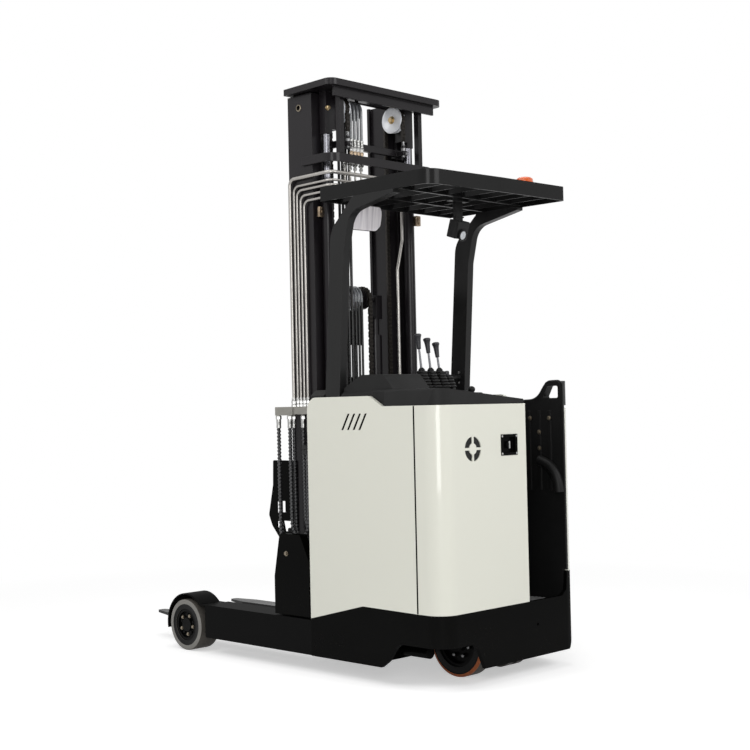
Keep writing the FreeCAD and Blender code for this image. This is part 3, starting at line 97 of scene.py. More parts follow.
def noise(tree, scale, detail=3.0, stretch=(1.0, 1.0, 1.0)):
    coordinates = tree.nodes.new("ShaderNodeTexCoord")
    mapping = tree.nodes.new("ShaderNodeMapping")
    mapping.inputs["Scale"].default_value = stretch
    texture = tree.nodes.new("ShaderNodeTexNoise")
    texture.inputs["Scale"].default_value = scale
    texture.inputs["Detail"].default_value = detail
    tree.links.new(coordinates.outputs["Object"], mapping.inputs["Vector"])
    tree.links.new(mapping.outputs["Vector"], texture.inputs["Vector"])
    return texture.outputs["Fac"]


def ranged(tree, value, low, high, start=0.3, end=0.7):
    node = tree.nodes.new("ShaderNodeMapRange")
    node.inputs["From Min"].default_value = start
    node.inputs["From Max"].default_value = end
    node.inputs["To Min"].default_value = low
    node.inputs["To Max"].default_value = high
    tree.links.new(value, node.inputs["Value"])
    return node.outputs["Result"]


# Finishes

# Two linear tones mixed by noise, the lowest and highest roughness, the scale and depth in metres of
# a fine grain, and the radius in metres of softened edges.
def finish(name, tones, rough, grain, metallic=0.0, specular=0.5, coat=0.0, tone_scale=4.0,
           stretch=(1.0, 1.0, 1.0), edge=0.0, coat_rough=0.1):
    material = bpy.data.materials.new(name)
    material.use_nodes = True
    tree = material.node_tree
    shader = tree.nodes["Principled BSDF"]
    shader.inputs["Metallic"].default_value = metallic
    shader.inputs["Specular IOR Level"].default_value = specular
    shader.inputs["Coat Weight"].default_value = coat
    shader.inputs["Coat Roughness"].default_value = coat_rough
    tone = ranged(tree, noise(tree, tone_scale, 4.0, stretch), 0.0, 1.0, 0.2, 0.8)
    tree.links.new(mix_colour(tree, tone, tones[0], tones[1]), shader.inputs["Base Color"])
    tree.links.new(ranged(tree, noise(tree, tone_scale * 3), rough[0], rough[1]), shader.inputs["Roughness"])
    bump = tree.nodes.new("ShaderNodeBump")
    bump.inputs["Distance"].default_value = grain[1]
    tree.links.new(noise(tree, grain[0], 2.0), bump.inputs["Height"])
    if edge > 0.0:
        bevel = tree.nodes.new("ShaderNodeBevel")
        bevel.samples = 4
        bevel.inputs["Radius"].default_value = edge
        tree.links.new(bevel.outputs["Normal"], bump.inputs["Normal"])
        if coat > 0.0:
            tree.links.new(bevel.outputs["Normal"], shader.inputs["Coat Normal"])
    tree.links.new(bump.outputs["Normal"], shader.inputs["Normal"])
    material.diffuse_color = (*tones[0], 1.0)
    return material


def grey(low, high):
    return (low, low, low), (high, high, high)


CREAM = ((0.715, 0.715, 0.632), (0.712, 0.712, 0.629))

# One finish for each material slot of the record
MATERIALS = {
    "cream_paint": finish("cream_paint", CREAM, (0.275, 0.285), (900, 0.000005), coat=0.8, coat_rough=0.05,
                          specular=0.2, tone_scale=1.6, stretch=(3.0, 3.0, 0.4), edge=0.003),
    "black_paint": finish("black_paint", grey(0.0045, 0.0062), (0.34, 0.44), (700, 0.00003),
                          specular=0.05, coat=0.2, coat_rough=0.16, edge=0.003),
    "mast_paint": finish("mast_paint", ((0.0085, 0.0072, 0.0085), (0.0115, 0.0100, 0.0115)), (0.34, 0.46),
                         (500, 0.00003), specular=0.08, coat=0.3, coat_rough=0.2, edge=0.003),
    "console_plastic": finish("console_plastic", grey(0.008, 0.011), (0.5, 0.62), (1400, 0.0001),
                              specular=0.18, edge=0.004),
    "wall_plastic": finish("wall_plastic", grey(0.006, 0.008), (0.4, 0.5), (1100, 0.00008),
                           specular=0.15, edge=0.004),
    "floor_rubber": finish("floor_rubber", grey(0.10, 0.16), (0.6, 0.8), (600, 0.0002), tone_scale=12.0),
    "battery_block": finish("battery_block", ((0.03, 0.03, 0.034), (0.045, 0.045, 0.05)), (0.5, 0.65),
                            (300, 0.0001), specular=0.3, edge=0.003),
    "drive_tyre_rubber": finish("drive_tyre_rubber", ((0.035, 0.030, 0.027), (0.06, 0.05, 0.045)),
                                (0.5, 0.7), (400, 0.0002), tone_scale=20.0),
    "load_tyre_rubber": finish("load_tyre_rubber", ((0.20, 0.195, 0.18), (0.26, 0.25, 0.235)), (0.45, 0.6),
                               (500, 0.0001), specular=0.2, tone_scale=14.0),
    "hub_iron": finish("hub_iron", grey(0.002, 0.004), (0.35, 0.5), (260, 0.0001), specular=0.05,
                       tone_scale=16.0, edge=0.002),
    # Dark chrome: its low brightness is a painted reflection of dark surroundings.
    "rod_chrome": finish("rod_chrome", ((0.25, 0.25, 0.27), (0.20, 0.20, 0.22)), (0.2, 0.26),
                         (900, 0.000001), metallic=1.0),
    "pipe_steel": finish("pipe_steel", ((0.40, 0.385, 0.365), (0.33, 0.315, 0.295)), (0.30, 0.36),
                         (300, 0.000001), metallic=1.0, tone_scale=5.0),
    "chain_steel": finish("chain_steel", ((0.016, 0.014, 0.012), (0.034, 0.029, 0.025)), (0.35, 0.45),
                          (500, 0.00004), metallic=0.4, specular=0.3, tone_scale=60.0),
    "hose_rubber": finish("hose_rubber", grey(0.006, 0.010), (0.26, 0.34), (800, 0.00002), specular=0.4,
                          tone_scale=20.0),
    "sheave_white": finish("sheave_white", ((0.88, 0.90, 0.94), (0.80, 0.82, 0.86)), (0.3, 0.42),
                           (300, 0.00002), coat=1.0, coat_rough=0.2, tone_scale=18.0),
    "lamp_orange": finish("lamp_orange", ((0.80, 0.14, 0.012), (0.66, 0.095, 0.008)), (0.1, 0.2),
                          (200, 0.00005), coat=0.5, tone_scale=20.0),
    "lamp_black": finish("lamp_black", grey(0.006, 0.009), (0.34, 0.44), (700, 0.00005), specular=0.18,
                         tone_scale=20.0, edge=0.002),
    "mirror_shell": finish("mirror_shell", grey(0.006, 0.009), (0.34, 0.44), (500, 0.00003), specular=0.2,
                           tone_scale=8.0),
    "grey_zinc": finish("grey_zinc", ((0.23, 0.225, 0.20), (0.28, 0.27, 0.245)), (0.4, 0.55), (400, 0.0001),
                        metallic=0.3, tone_scale=20.0, edge=0.002),
}

# Paints of single nodes
SKIRT = finish("skirt_paint", ((0.0014, 0.0014, 0.0013), (0.0022, 0.0022, 0.0020)), (0.36, 0.46),
               (900, 0.00002), specular=0.0, coat=0.09, coat_rough=0.26, edge=0.003)
POST = finish("post_paint", grey(0.0085, 0.0105), (0.34, 0.44), (800, 0.00003), specular=0.1, coat=0.2,
              coat_rough=0.2, edge=0.003)
LEG = finish("leg_paint", grey(0.0012, 0.0020), (0.3, 0.45), (500, 0.00003), specular=0.0, coat=0.12,
             coat_rough=0.28, tone_scale=9.0, edge=0.003)

# Metals
GOLD = finish("gold_zinc", ((0.50, 0.38, 0.20), (0.36, 0.28, 0.17)), (0.32, 0.42), (500, 0.00002),
              metallic=1.0, tone_scale=60.0)
NICKEL = finish("bright_nickel", ((0.46, 0.46, 0.45), (0.32, 0.32, 0.31)), (0.28, 0.38), (300, 0.00001),
                metallic=1.0, tone_scale=50.0)
DARK_STEEL = finish("dark_steel", ((0.13, 0.13, 0.135), (0.22, 0.22, 0.22)), (0.28, 0.38), (300, 0.00001),
                    metallic=1.0, tone_scale=40.0)
BRASS = finish("brass", ((0.44, 0.34, 0.24), (0.26, 0.20, 0.14)), (0.35, 0.45), (600, 0.00002),
               metallic=1.0, tone_scale=40.0)
BOLT_DARK = finish("dark_bolt", ((0.17, 0.145, 0.11), (0.26, 0.225, 0.17)), (0.35, 0.45), (500, 0.00003),
                   metallic=0.9, tone_scale=60.0)
STEM = finish("lever_steel", ((0.11, 0.11, 0.12), (0.16, 0.16, 0.17)), (0.3, 0.4), (700, 0.00002),
              metallic=0.8, tone_scale=30.0)

# Plastic, rubber and glass
KNOB = finish("knob_plastic", ((0.020, 0.020, 0.023), (0.028, 0.028, 0.032)), (0.3, 0.4), (900, 0.00004),
              specular=0.3, tone_scale=30.0)
SPIRAL = finish("spiral_guard", ((0.012, 0.012, 0.013), (0.020, 0.020, 0.022)), (0.28, 0.36),
                (900, 0.00002), specular=0.5, tone_scale=30.0)
# Lighter grey hose rubber, a painted highlight on the hose crowns and rear runs.
HOSE_PAINTED_HIGHLIGHT = finish("hose_painted_highlight", ((0.20, 0.21, 0.22), (0.13, 0.135, 0.145)), (0.2, 0.3), (500, 0.00002),
                   specular=0.5, coat=0.6, coat_rough=0.2, tone_scale=16.0)
# The mirror glass's bright and dark streaks are a painted reflection.
GLASS = finish("mirror_glass", ((1.0, 0.97, 0.98), (0.50, 0.47, 0.51)), (0.3, 0.4), (300, 0.000001),
               metallic=0.6, tone_scale=30.0, stretch=(1.0, 3.0, 0.06))
LENS = finish("lamp_lens", ((0.62, 0.64, 0.66), (0.35, 0.37, 0.40)), (0.05, 0.1), (250, 0.0003), coat=1.0,
              tone_scale=60.0)
MESH = finish("vent_mesh", grey(0.006, 0.03), (0.4, 0.6), (900, 0.0003), specular=0.2, tone_scale=180.0)
BAND = finish("tyre_band", ((0.34, 0.085, 0.020), (0.24, 0.065, 0.020)), (0.4, 0.55), (500, 0.0001),
              specular=0.3, tone_scale=24.0)
# The dark brown of the tread is partly wear and partly painted shade.
TREAD_WEAR_AND_SHADE = finish("worn_and_shaded_tread", ((0.085, 0.078, 0.068), (0.05, 0.045, 0.04)), (0.55, 0.7), (500, 0.0002),
               specular=0.2, tone_scale=30.0)
TYRE_WALL = finish("tyre_wall", grey(0.004, 0.007), (0.4, 0.5), (500, 0.0001), specular=0.1,
                   tone_scale=24.0)
MATT = finish("matt_black", grey(0.002, 0.004), (0.7, 0.8), (500, 0.0001), specular=0.05, tone_scale=24.0)

# Nodes whose paint shows otherwise than the rest of their slot
NODE_PAINT = {
    "base_skirt": SKIRT, "chassis_frame": SKIRT, "emergency_switch": SKIRT, "hose_guide": SKIRT,
    "reach_carriage": SKIRT, "guard_post_left": POST, "guard_post_right": POST, "leg_left": LEG,
    "leg_right": LEG, "wheel_fender_left": LEG, "wheel_fender_right": LEG,
}


def dress_nodes():
    for part in frame["record"]["subparts"]:
        node = frame["nodes"][part["node"]]
        for slot in node.material_slots:
            slot.material = NODE_PAINT.get(part["node"], MATERIALS[part["material_slot"]])


# Shape helpers. They draw in the truck's millimetres, and piece() moves the result to the frame.

# Walls between neighbouring rings of corners, with the ends capped or joined to each other.
def skin(bm, rings, closed=False):
    pairs = list(zip(rings, rings[1:]))
    if closed:
        pairs.append((rings[-1], rings[0]))
    for low, high in pairs:
        for index in range(len(low)):
            after = (index + 1) % len(low)
            bm.faces.new((low[index], low[after], high[after], high[index]))
    if not closed:
        bm.faces.new(list(reversed(rings[0])))
        bm.faces.new(rings[-1])


# A turned shape. Its profile holds the way along the axis and the radius, point by point.
def add_lathe(bm, foot, axis, profile, segments=32, closed=False):
    axis = Vector(axis).normalized()
    side = axis.orthogonal().normalized()
    other = axis.cross(side)
    rings = []
    for along, radius in profile:
        centre = Vector(foot) + axis * along
        ring = []
        for index in range(segments):
            angle = 2 * math.pi * index / segments
            ring.append(bm.verts.new(centre + (side * math.cos(angle) + other * math.sin(angle)) * radius))
        rings.append(ring)
    skin(bm, rings, closed)


# Share of a hexagon's height that is straight, and of its radius left at the top
HEX_SHOULDER = 0.85
HEX_TOP = 0.88


# A nut or bolt head, a little narrower at its top.
def add_hex(bm, foot, axis, radius, height):
    profile = [(0, radius), (height * HEX_SHOULDER, radius), (height, radius * HEX_TOP)]
    add_lathe(bm, foot, axis, profile, 6)


# A bolt head that stands on its washer, the given lift above the washer's foot.
def add_bolt(bm, foot, axis, washer, lift, radius, height, segments=24):
    add_lathe(bm, foot, axis, washer, segments)
    add_hex(bm, Vector(foot) + Vector(axis) * lift, axis, radius, height)


def add_box(bm, low, high, bevel=0.0):
    low = Vector(low)
    size = Vector(high) - low
    made = bmesh.ops.create_cube(bm, size=1.0)["verts"]
    for vert in made:
        vert.co = Vector([low[i] + (vert.co[i] + 0.5) * size[i] for i in range(3)])
    if bevel > 0.0:
        edges = list(dict.fromkeys(edge for vert in made for edge in vert.link_edges))
        bmesh.ops.bevel(bm, geom=edges, offset=bevel, segments=2, profile=0.5, affect="EDGES")


# A flat plate with its outline in the plane across the given axis.
def add_plate(bm, outline, axis, low, high):
    rings = []
    for place in (low, high):
        ring = []
        for u, v in outline:
            point = {"x": (place, u, v), "y": (u, place, v), "z": (u, v, place)}[axis]
            ring.append(bm.verts.new(point))
        rings.append(ring)
    skin(bm, rings)


# An outline with each corner replaced by a curve that starts and ends the radius away from it.
def rounded(corners, radius, steps=5):
    outline = []
    count = len(corners)
    for index in range(count):
        corner = Vector(corners[index])
        before = (Vector(corners[index - 1]) - corner).normalized()
        after = (Vector(corners[(index + 1) % count]) - corner).normalized()
        for step in range(steps + 1):
            share = step / steps
            point = (corner + before * radius) * (1 - share) ** 2 + corner * 2 * share * (1 - share)
            outline.append(point + (corner + after * radius) * share ** 2)
    return [tuple(point) for point in outline]


# A smooth line led by its points: from the first to the last, close by those between.
def led_line(points, steps=10):
    points = [Vector(point) for point in points]
    line = [points[0]]
    last = len(points) - 2
    for index in range(1, last + 1):
        start = line[-1]
        end = points[-1] if index == last else (points[index] + points[index + 1]) / 2
        for step in range(1, steps + 1):
            share = step / steps
            line.append(start * (1 - share) ** 2 + points[index] * 2 * share * (1 - share) + end * share ** 2)
    return line


# The same line with its points the given step apart.
def evenly(line, step):
    out = [line[0]]
    rest = step
    for start, end in zip(line, line[1:]):
        length = (end - start).length
        place = rest
        while place <= length:
            out.append(start.lerp(end, place / length))
            place += step
        rest = place - length
    out.append(line[-1])
    return out


# A tube along a line. Its radius is a number, or a function of the way along and the angle.
def add_sweep(bm, line, radius, segments=14):
    normal = (line[1] - line[0]).orthogonal().normalized()
    rings = []
    along = 0.0
    last = len(line) - 1
    for index, point in enumerate(line):
        if index:
            along += (point - line[index - 1]).length
        tangent = (line[min(index + 1, last)] - line[max(index - 1, 0)]).normalized()
        normal = (normal - tangent * normal.dot(tangent)).normalized()
        other = tangent.cross(normal)
        ring = []
        for step in range(segments):
            angle = 2 * math.pi * step / segments
            reach = radius(along, angle) if callable(radius) else radius
            ring.append(bm.verts.new(point + (normal * math.cos(angle) + other * math.sin(angle)) * reach))
        rings.append(ring)
    skin(bm, rings)


SMOOTH_BELOW = math.radians(38)


# A finished piece that rides on a body. With several materials, choose() gives a face its number.
def piece(name, bm, materials, body, replaces=(), choose=None):
    if not isinstance(materials, (list, tuple)):
        materials = [materials]
    to_frame = Matrix.Translation((REAR_X, 0, 0)) @ Matrix.Scale(MM, 4)
    bmesh.ops.transform(bm, matrix=to_frame, verts=bm.verts)
    bmesh.ops.recalc_face_normals(bm, faces=bm.faces)
    if choose:
        for face in bm.faces:
            centre = (face.calc_center_median() - Vector((REAR_X, 0, 0))) / MM
            face.material_index = choose(centre, face.normal)
    mesh = bpy.data.meshes.new(name)
    bm.to_mesh(mesh)
    bm.free()
    for material in materials:
        mesh.materials.append(material)
    for polygon in mesh.polygons:
        polygon.use_smooth = True
    mesh.set_sharp_from_angle(angle=SMOOTH_BELOW)
    made = bpy.data.objects.new(name, mesh)
    bpy.context.scene.collection.objects.link(made)
    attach(made, body)
    if replaces:
        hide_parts(*replaces)
    return made


# Leaf chains

CHAIN_PITCH = 19.0
LANE_WIDTH = 3.1
PLATE_THICK = 2.7
PLATE_RADIUS = 6.8
PLATE_WAIST = 5.2
PIN_RADIUS = 2.6
PIN_REACH = 11.4
WIDE_LANES = (-3, -1, 1, 3)
NARROW_LANES = (-2, 0, 2)

LIFT_CHAIN_YS = (190.0, -190.0)
LIFT_CHAIN_RADIUS = 60.0
LIFT_CHAIN_X = SHEAVE.x - LIFT_CHAIN_RADIUS
LIFT_CHAIN_END = 331.0
FREE_CHAIN_YS = (95.0, -60.0)
FREE_CHAIN_RADIUS = 57.0
FREE_CHAIN_REAR_END = 1302.0
FREE_CHAIN_FRONT_END = 562.0
FREE_SHEAVE_Z = FREE_HEAD_TOP - 50.0


# One plate of a link: two round ends and a waist, between two pins.
def add_link(bm, start, end, y):
    along = (end - start).normalized()
    across = Vector((-along.z, 0.0, along.x))
    middle = (start + end) / 2
    outline = []
    for centre, turn, waist in ((end, 0.0, PLATE_WAIST), (start, math.pi, -PLATE_WAIST)):
        for step in range(6):
            angle = turn - math.pi / 2 + math.pi * step / 5
            outline.append(centre + (along * math.cos(angle) + across * math.sin(angle)) * PLATE_RADIUS)
        outline.append(middle + across * waist)
    half = PLATE_THICK / 2
    add_plate(bm, [(point.x, point.z) for point in outline], "y", y - half, y + half)


# Pins up the rear run, over the sheave and down the front run.
def chain_pins(x, z, radius, rear_end, front_end):
    rear = z - rear_end
    over = math.pi * radius
    total = rear + over + z - front_end
    pins = []
    for index in range(int(total / CHAIN_PITCH) + 1):
        along = index * CHAIN_PITCH
        if along < rear:
            pins.append(Vector((x - radius, 0, rear_end + along)))
        elif along < rear + over:
            angle = (along - rear) / radius
            pins.append(Vector((x - radius * math.cos(angle), 0, z + radius * math.sin(angle))))
        else:
            pins.append(Vector((x + radius, 0, z - (along - rear - over))))
    return pins


def add_chain(bm, y, pins):
    for index, (start, end) in enumerate(zip(pins, pins[1:])):
        for lane in WIDE_LANES if index % 2 else NARROW_LANES:
            add_link(bm, start, end, y + lane * LANE_WIDTH)
    for pin in pins:
        foot = (pin.x, y - PIN_REACH, pin.z)
        add_lathe(bm, foot, (0, 1, 0), [(0, PIN_RADIUS), (2 * PIN_REACH, PIN_RADIUS)], 8)


def lift_chains():
    bm = bmesh.new()
    pins = chain_pins(SHEAVE.x, SHEAVE.z, LIFT_CHAIN_RADIUS, ANCHOR_TOP + 7, LIFT_CHAIN_END)
    for y in LIFT_CHAIN_YS:
        add_chain(bm, y, pins)
        tongue = Vector((LIFT_CHAIN_X, y, ANCHOR_TOP - 1))
        add_box(bm, tongue - Vector((4, 5, 11)), tongue + Vector((4, 5, 11)), 1.5)
    piece("leaf_chains", bm, MATERIALS["chain_steel"], "middle_mast", ["lift_chains"])


def free_lift_chains():
    bm = bmesh.new()
    pins = chain_pins(FREE_HEAD_X, FREE_SHEAVE_Z, FREE_CHAIN_RADIUS, FREE_CHAIN_REAR_END,
                      FREE_CHAIN_FRONT_END)
    for y in FREE_CHAIN_YS:
        add_chain(bm, y, pins)
    piece("free_lift_leaf_chains", bm, MATERIALS["chain_steel"], "free_lift_head",
          ["free_lift_chains"])


# Chain sheaves at the mast head

SHEAVE_FACE_Y = 171.0
SHEAVE_PROFILE = (
    (3, 20), (3, 27), (1.5, 30), (1.5, 49), (0, 53), (0, 62), (1.5, 65.5), (5, 66), (7, 64), (8, 60), (8, 53),
    (30, 53), (31, 60), (34, 61), (35, 58), (35, 16), (45.6, 16),
)


def sheaves():
    bm = bmesh.new()
    bolts = bmesh.new()
    for side in (1, -1):
        foot = (SHEAVE.x, side * SHEAVE_FACE_Y, SHEAVE.z)
        add_lathe(bm, foot, (0, side, 0), SHEAVE_PROFILE, 56)
        add_bolt(bolts, foot, (0, -side, 0), [(-3, 19), (0, 19), (1.5, 18)], 1.4, 15, 8.5, 28)
    piece("sheave_wheels", bm, MATERIALS["sheave_white"], "middle_mast", ["chain_sheaves"])
    piece("sheave_bolts", bolts, GOLD, "middle_mast")


# Hoses over the mast head, their nuts, elbows and risers

HOSE_YS = (152.0, 129.0, 106.0, 83.0)
HOSE_REAR_X = 805.0
HOSE_FRONT_X = 893.5
HOSE_FOOT_Z = 2430.0
HOSE_BEND_Z = 2560.0
HOSE_CROWN_Z = 2661.0
HOSE_END_Z = 1300.5
HOSE_RADIUS = 7.0
# Where the mast hoses take the painted highlight
HIGHLIGHT_BEFORE_X = 880.0
HIGHLIGHT_ABOVE_Z = 2600.0
CARRIER_Y = 72.0
NUT_PROFILE = ((0, 8.5), (2, 9.4), (9, 9.4), (11, 8.2), (24, 8.2), (26, 9.4), (35, 9.0), (37, 7.2))


# A hose up at the rear, over at the crown and down in front.
def hose_over(y, rear_x, front_x, foot, bend, crown, end, steps):
    return led_line([(rear_x, y, foot), (rear_x, y, bend), (rear_x, y, crown), (front_x, y, crown),
                     (front_x, y, bend), (front_x, y, end)], steps)


# The rear run and the crown of a mast hose are painted lighter grey as a highlight.
def painted_highlight_rear(centre, normal):
    return 1 if centre.x < HIGHLIGHT_BEFORE_X or centre.z > HIGHLIGHT_ABOVE_Z else 0


def mast_hoses():
    bm = bmesh.new()
    nuts = bmesh.new()
    tails = bmesh.new()
    up = (0, 0, 1)
    for y in HOSE_YS:
        line = hose_over(y, HOSE_REAR_X, HOSE_FRONT_X, HOSE_FOOT_Z, HOSE_BEND_Z, HOSE_CROWN_Z, HOSE_END_Z, 12)
        add_sweep(bm, line, HOSE_RADIUS, 16)
        add_lathe(nuts, (HOSE_REAR_X, y, HOSE_FOOT_Z + 11), up, NUT_PROFILE, 20)
        add_hex(nuts, (HOSE_REAR_X, y, HOSE_FOOT_Z - 5), up, 10.5, 15)
        add_hex(tails, (HOSE_REAR_X, y, HOSE_FOOT_Z - 23), up, 9.5, 14)
        add_lathe(tails, (HOSE_REAR_X, y, HOSE_FOOT_Z - 38), up, [(0, 6.5), (16, 6.5)], 16)
    piece("mast_hoses", bm, [MATERIALS["hose_rubber"], HOSE_PAINTED_HIGHLIGHT], "middle_mast",
          ["top_hoses"], painted_highlight_rear)
    piece("mast_hose_nuts", nuts, NICKEL, "middle_mast")
    piece("mast_hose_tails", tails, BRASS, "middle_mast")


# Drum that the hoses turn over, on its arm.
def hose_carrier():
    bm = bmesh.new()
    reach = (HOSE_FRONT_X - HOSE_REAR_X) / 2
    centre = (HOSE_REAR_X + reach, CARRIER_Y, HOSE_CROWN_Z - reach)
    add_lathe(bm, centre, (0, 1, 0), [(0, 34), (2, 36.4), (88, 36.4), (90, 34)], 40)
    add_box(bm, (841, CARRIER_Y - 10, 2600), (857, CARRIER_Y + 1, 2690), 1.5)
    piece("mast_hose_carrier", bm, MATERIALS["lamp_black"], "middle_mast")


PIPE_REAR_X = 736.0
RISER_RADIUS = 4.6
TAIL_RADIUS = 5.0
ELBOW_Z = 2330.0
RISERS = (  # riser y, hose y, steel pipe end y and z
    (199.0, 152.0, 215.0, 2234.0),
    (163.0, 129.0, 215.0, 2207.0),
    (130.0, 106.0, 215.0, 2180.0),
    (90.0, 83.0, 150.0, 2256.0),
)


def risers():
    bm = bmesh.new()
    elbows = bmesh.new()
    up = (0, 0, 1)
    x = HOSE_REAR_X
    for y, hose_y, end_y, z in RISERS:
        riser = [(PIPE_REAR_X, end_y + 2, z), (PIPE_REAR_X, end_y - 18, z), (PIPE_REAR_X + 14, y, z),
                 (x, y, z + 6), (x, y, z + 50), (x, y, ELBOW_Z + 22)]
        add_sweep(bm, led_line(riser, 8), RISER_RADIUS, 12)
        tail = [(x, y, ELBOW_Z + 36), (x, y, ELBOW_Z + 54), (x, hose_y, ELBOW_Z + 58),
                (x, hose_y, ELBOW_Z + 78)]
        add_sweep(bm, led_line(tail, 6), TAIL_RADIUS, 12)
        add_hex(elbows, (x, y, ELBOW_Z), up, 9.0, 12)
        sleeve = [(0, 6.5), (4, 8.6), (18, 8.6), (22, 6.5), (30, 6.0)]
        add_lathe(elbows, (x, y, ELBOW_Z + 14), up, sleeve, 18)
        add_hex(elbows, (x - 12, y, ELBOW_Z + 25), (1, 0, 0), 8.0, 24)
    piece("hose_risers", bm, MATERIALS["pipe_steel"], "reach_carriage")
    piece("riser_elbows", elbows, NICKEL, "reach_carriage")


# Fasteners of the mast

HEAD_BOLT = (823.5, 287, 2611)
CARRIAGE_BOLT_X = 991.0
CARRIAGE_BOLT_Y = 448.8
CARRIAGE_BOLT_Z = 529.0
LIFTING_X = 960.0
LIFTING_Y = 342.5
LIFTING_Z = 2625.0
STUD_Z = 2428.0
STUD_PROFILE = (
    (0, 6.2), (6, 8), (28, 8), (30, 11.5), (44, 11.5), (46, 8.2), (62, 8.2), (64, 6.2), (77, 6.2),
)
BARREL_CLAMPS = (  # low corner, high corner, heights of the bolts
    ((846, 300, 2098), (864, 328, 2146), (2122,)),
    ((800, -318, 2100), (822, -288, 2150), (2136, 2114)),
)


def mast_head_bolt():
    bm = bmesh.new()
    add_bolt(bm, HEAD_BOLT, (-1, 0, 0), [(0, 12), (3, 12), (3.4, 10)], 3.5, 10, 11)
    piece("mast_head_bolt", bm, GOLD, "middle_mast")


# Studs that hold the rear ends of the lift chains in the anchor beam.
def anchor_studs():
    bm = bmesh.new()
    for y in LIFT_CHAIN_YS:
        add_lathe(bm, (LIFT_CHAIN_X, y, STUD_Z), (0, 0, 1), STUD_PROFILE, 20)
        add_hex(bm, (LIFT_CHAIN_X, y, STUD_Z + 20), (0, 0, 1), 12.5, 14)
        add_hex(bm, (LIFT_CHAIN_X - 14, y, STUD_Z + 16), (-1, 0, 0), 7, 8)
    piece("anchor_studs", bm, DARK_STEEL, "reach_carriage")


def lifting_rings():
    bm = bmesh.new()
    ring = [(0, 12), (0, 17), (3, 17), (5, 15), (5, 12)]
    for side in (1, -1):
        add_lathe(bm, (LIFTING_X, side * LIFTING_Y, LIFTING_Z), (0, side, 0), ring, 32, closed=True)
    piece("lifting_rings", bm, BOLT_DARK, "reach_carriage")


def barrel_clamps():
    bm = bmesh.new()
    for low, high, bolts in BARREL_CLAMPS:
        add_box(bm, low, high, 2)
        for z in bolts:
            add_hex(bm, (low[0] + 0.2, (low[1] + high[1]) / 2, z), (-1, 0, 0), 7, 5)
    piece("barrel_clamps", bm, BRASS, "reach_carriage")


def carriage_bolts():
    bm = bmesh.new()
    for side in (1, -1):
        foot = (CARRIAGE_BOLT_X, side * CARRIAGE_BOLT_Y, CARRIAGE_BOLT_Z)
        add_bolt(bm, foot, (0, side, 0), [(0, 12), (2, 12), (2.4, 10)], 2.2, 9, 7)
    piece("carriage_bolts", bm, BOLT_DARK, "reach_carriage")


# Manifold and hanging hoses

PIPES = ((1018, 357, 9), (992, 355, 6), (970, 355, 6), (946, 355, 6), (922, 355, 6))  # x, y, radius
HANGING = (  # y, x of the drop, x of the return, lowest z
    (392.0, 1092.0, 858.0, 560.0),
    (392.0, 1012.0, 895.0, 605.0),
    (372.0, 1006.0, 880.0, 590.0),
    (372.0, 940.0, 902.0, 650.0),
)
FERRULE_PROFILE = (
    (0, 10), (2, 11.8), (10, 11.8), (12, 11.2), (24, 11.2), (26, 11.8), (38, 11.8), (42, 11.2),
)


# Nuts of the steel pipes on the manifold and of the hoses under it.
def manifold_fittings():
    bm = bmesh.new()
    up = (0, 0, 1)
    for x, y, radius in PIPES:
        wide = radius + 4.5
        add_hex(bm, (x, y, MANIFOLD_TOP - 0.5), up, wide, 13)
        add_lathe(bm, (x, y, MANIFOLD_TOP + 12), up, [(0, radius + 1), (3, radius + 1)], 20)
        add_hex(bm, (x, y, MANIFOLD_TOP + 15), up, wide, 15)
        sleeve = [(0, radius + 2.5), (10, radius + 2.5), (13, radius + 0.5)]
        add_lathe(bm, (x, y, MANIFOLD_TOP + 30), up, sleeve, 20)
    for y, drop, back, low in HANGING:
        add_hex(bm, (drop, y, MANIFOLD_TOP - 58), up, 14, 17)
        add_lathe(bm, (drop, y, MANIFOLD_TOP - 100), up, FERRULE_PROFILE, 24)
    piece("manifold_fittings", bm, NICKEL, "reach_carriage")


HANGING_RADIUS = 7.4
HANGING_START_Z = 1119.0
HANGING_BEND_Z = 960.0
RETURN_BEND_Z = 900.0
RETURN_END_Z = 1010.0
LOOP_HEIGHT = 150.0
GUARD_PITCH = 17.0
GUARD_RISE = 2.8
GUARD_SHARE = 0.6
GUARD_STEEPNESS = 6.0


# Radius of a hose in its spiral guard, which covers a share of each pitch.
def guarded(along, angle):
    turn = (along / GUARD_PITCH - angle / (2 * math.pi)) % 1.0
    rise = GUARD_STEEPNESS * max(0.0, min(turn, GUARD_SHARE - turn))
    return HANGING_RADIUS + GUARD_RISE * min(1.0, rise)


def hanging_hoses():
    bm = bmesh.new()
    for y, drop, back, low in HANGING:
        line = led_line([(drop, y, HANGING_START_Z), (drop, y, HANGING_BEND_Z),
                         (drop - 2, y, low + LOOP_HEIGHT), (drop - 4, y, low), (back + 2, y, low),
                         (back, y, low + LOOP_HEIGHT), (back, y, RETURN_BEND_Z), (back, y, RETURN_END_Z)], 16)
        add_sweep(bm, evenly(line, 2.0), guarded, 14)
    piece("spiral_hoses", bm, SPIRAL, "reach_carriage", ["hanging_hoses"])


CLAMP_REAR_X = 836.0
CLAMP_FRONT_X = 922.0
CLAMP_HALVES = ((988, 1009), (1011, 1032))


# Clamp that the hanging hoses come back to.
def hose_clamp():
    bm = bmesh.new()
    for low, high in CLAMP_HALVES:
        add_box(bm, (CLAMP_REAR_X, 343.2, low), (CLAMP_FRONT_X, 402, high), 3)
    for x in (CLAMP_REAR_X + 10, CLAMP_FRONT_X - 10):
        add_hex(bm, (x, 372, CLAMP_HALVES[-1][1] - 0.5), (0, 0, 1), 8, 6)
    piece("hose_clamp", bm, MATERIALS["lamp_black"], "reach_carriage")


# Roller of the free lift head and the thin hoses over it

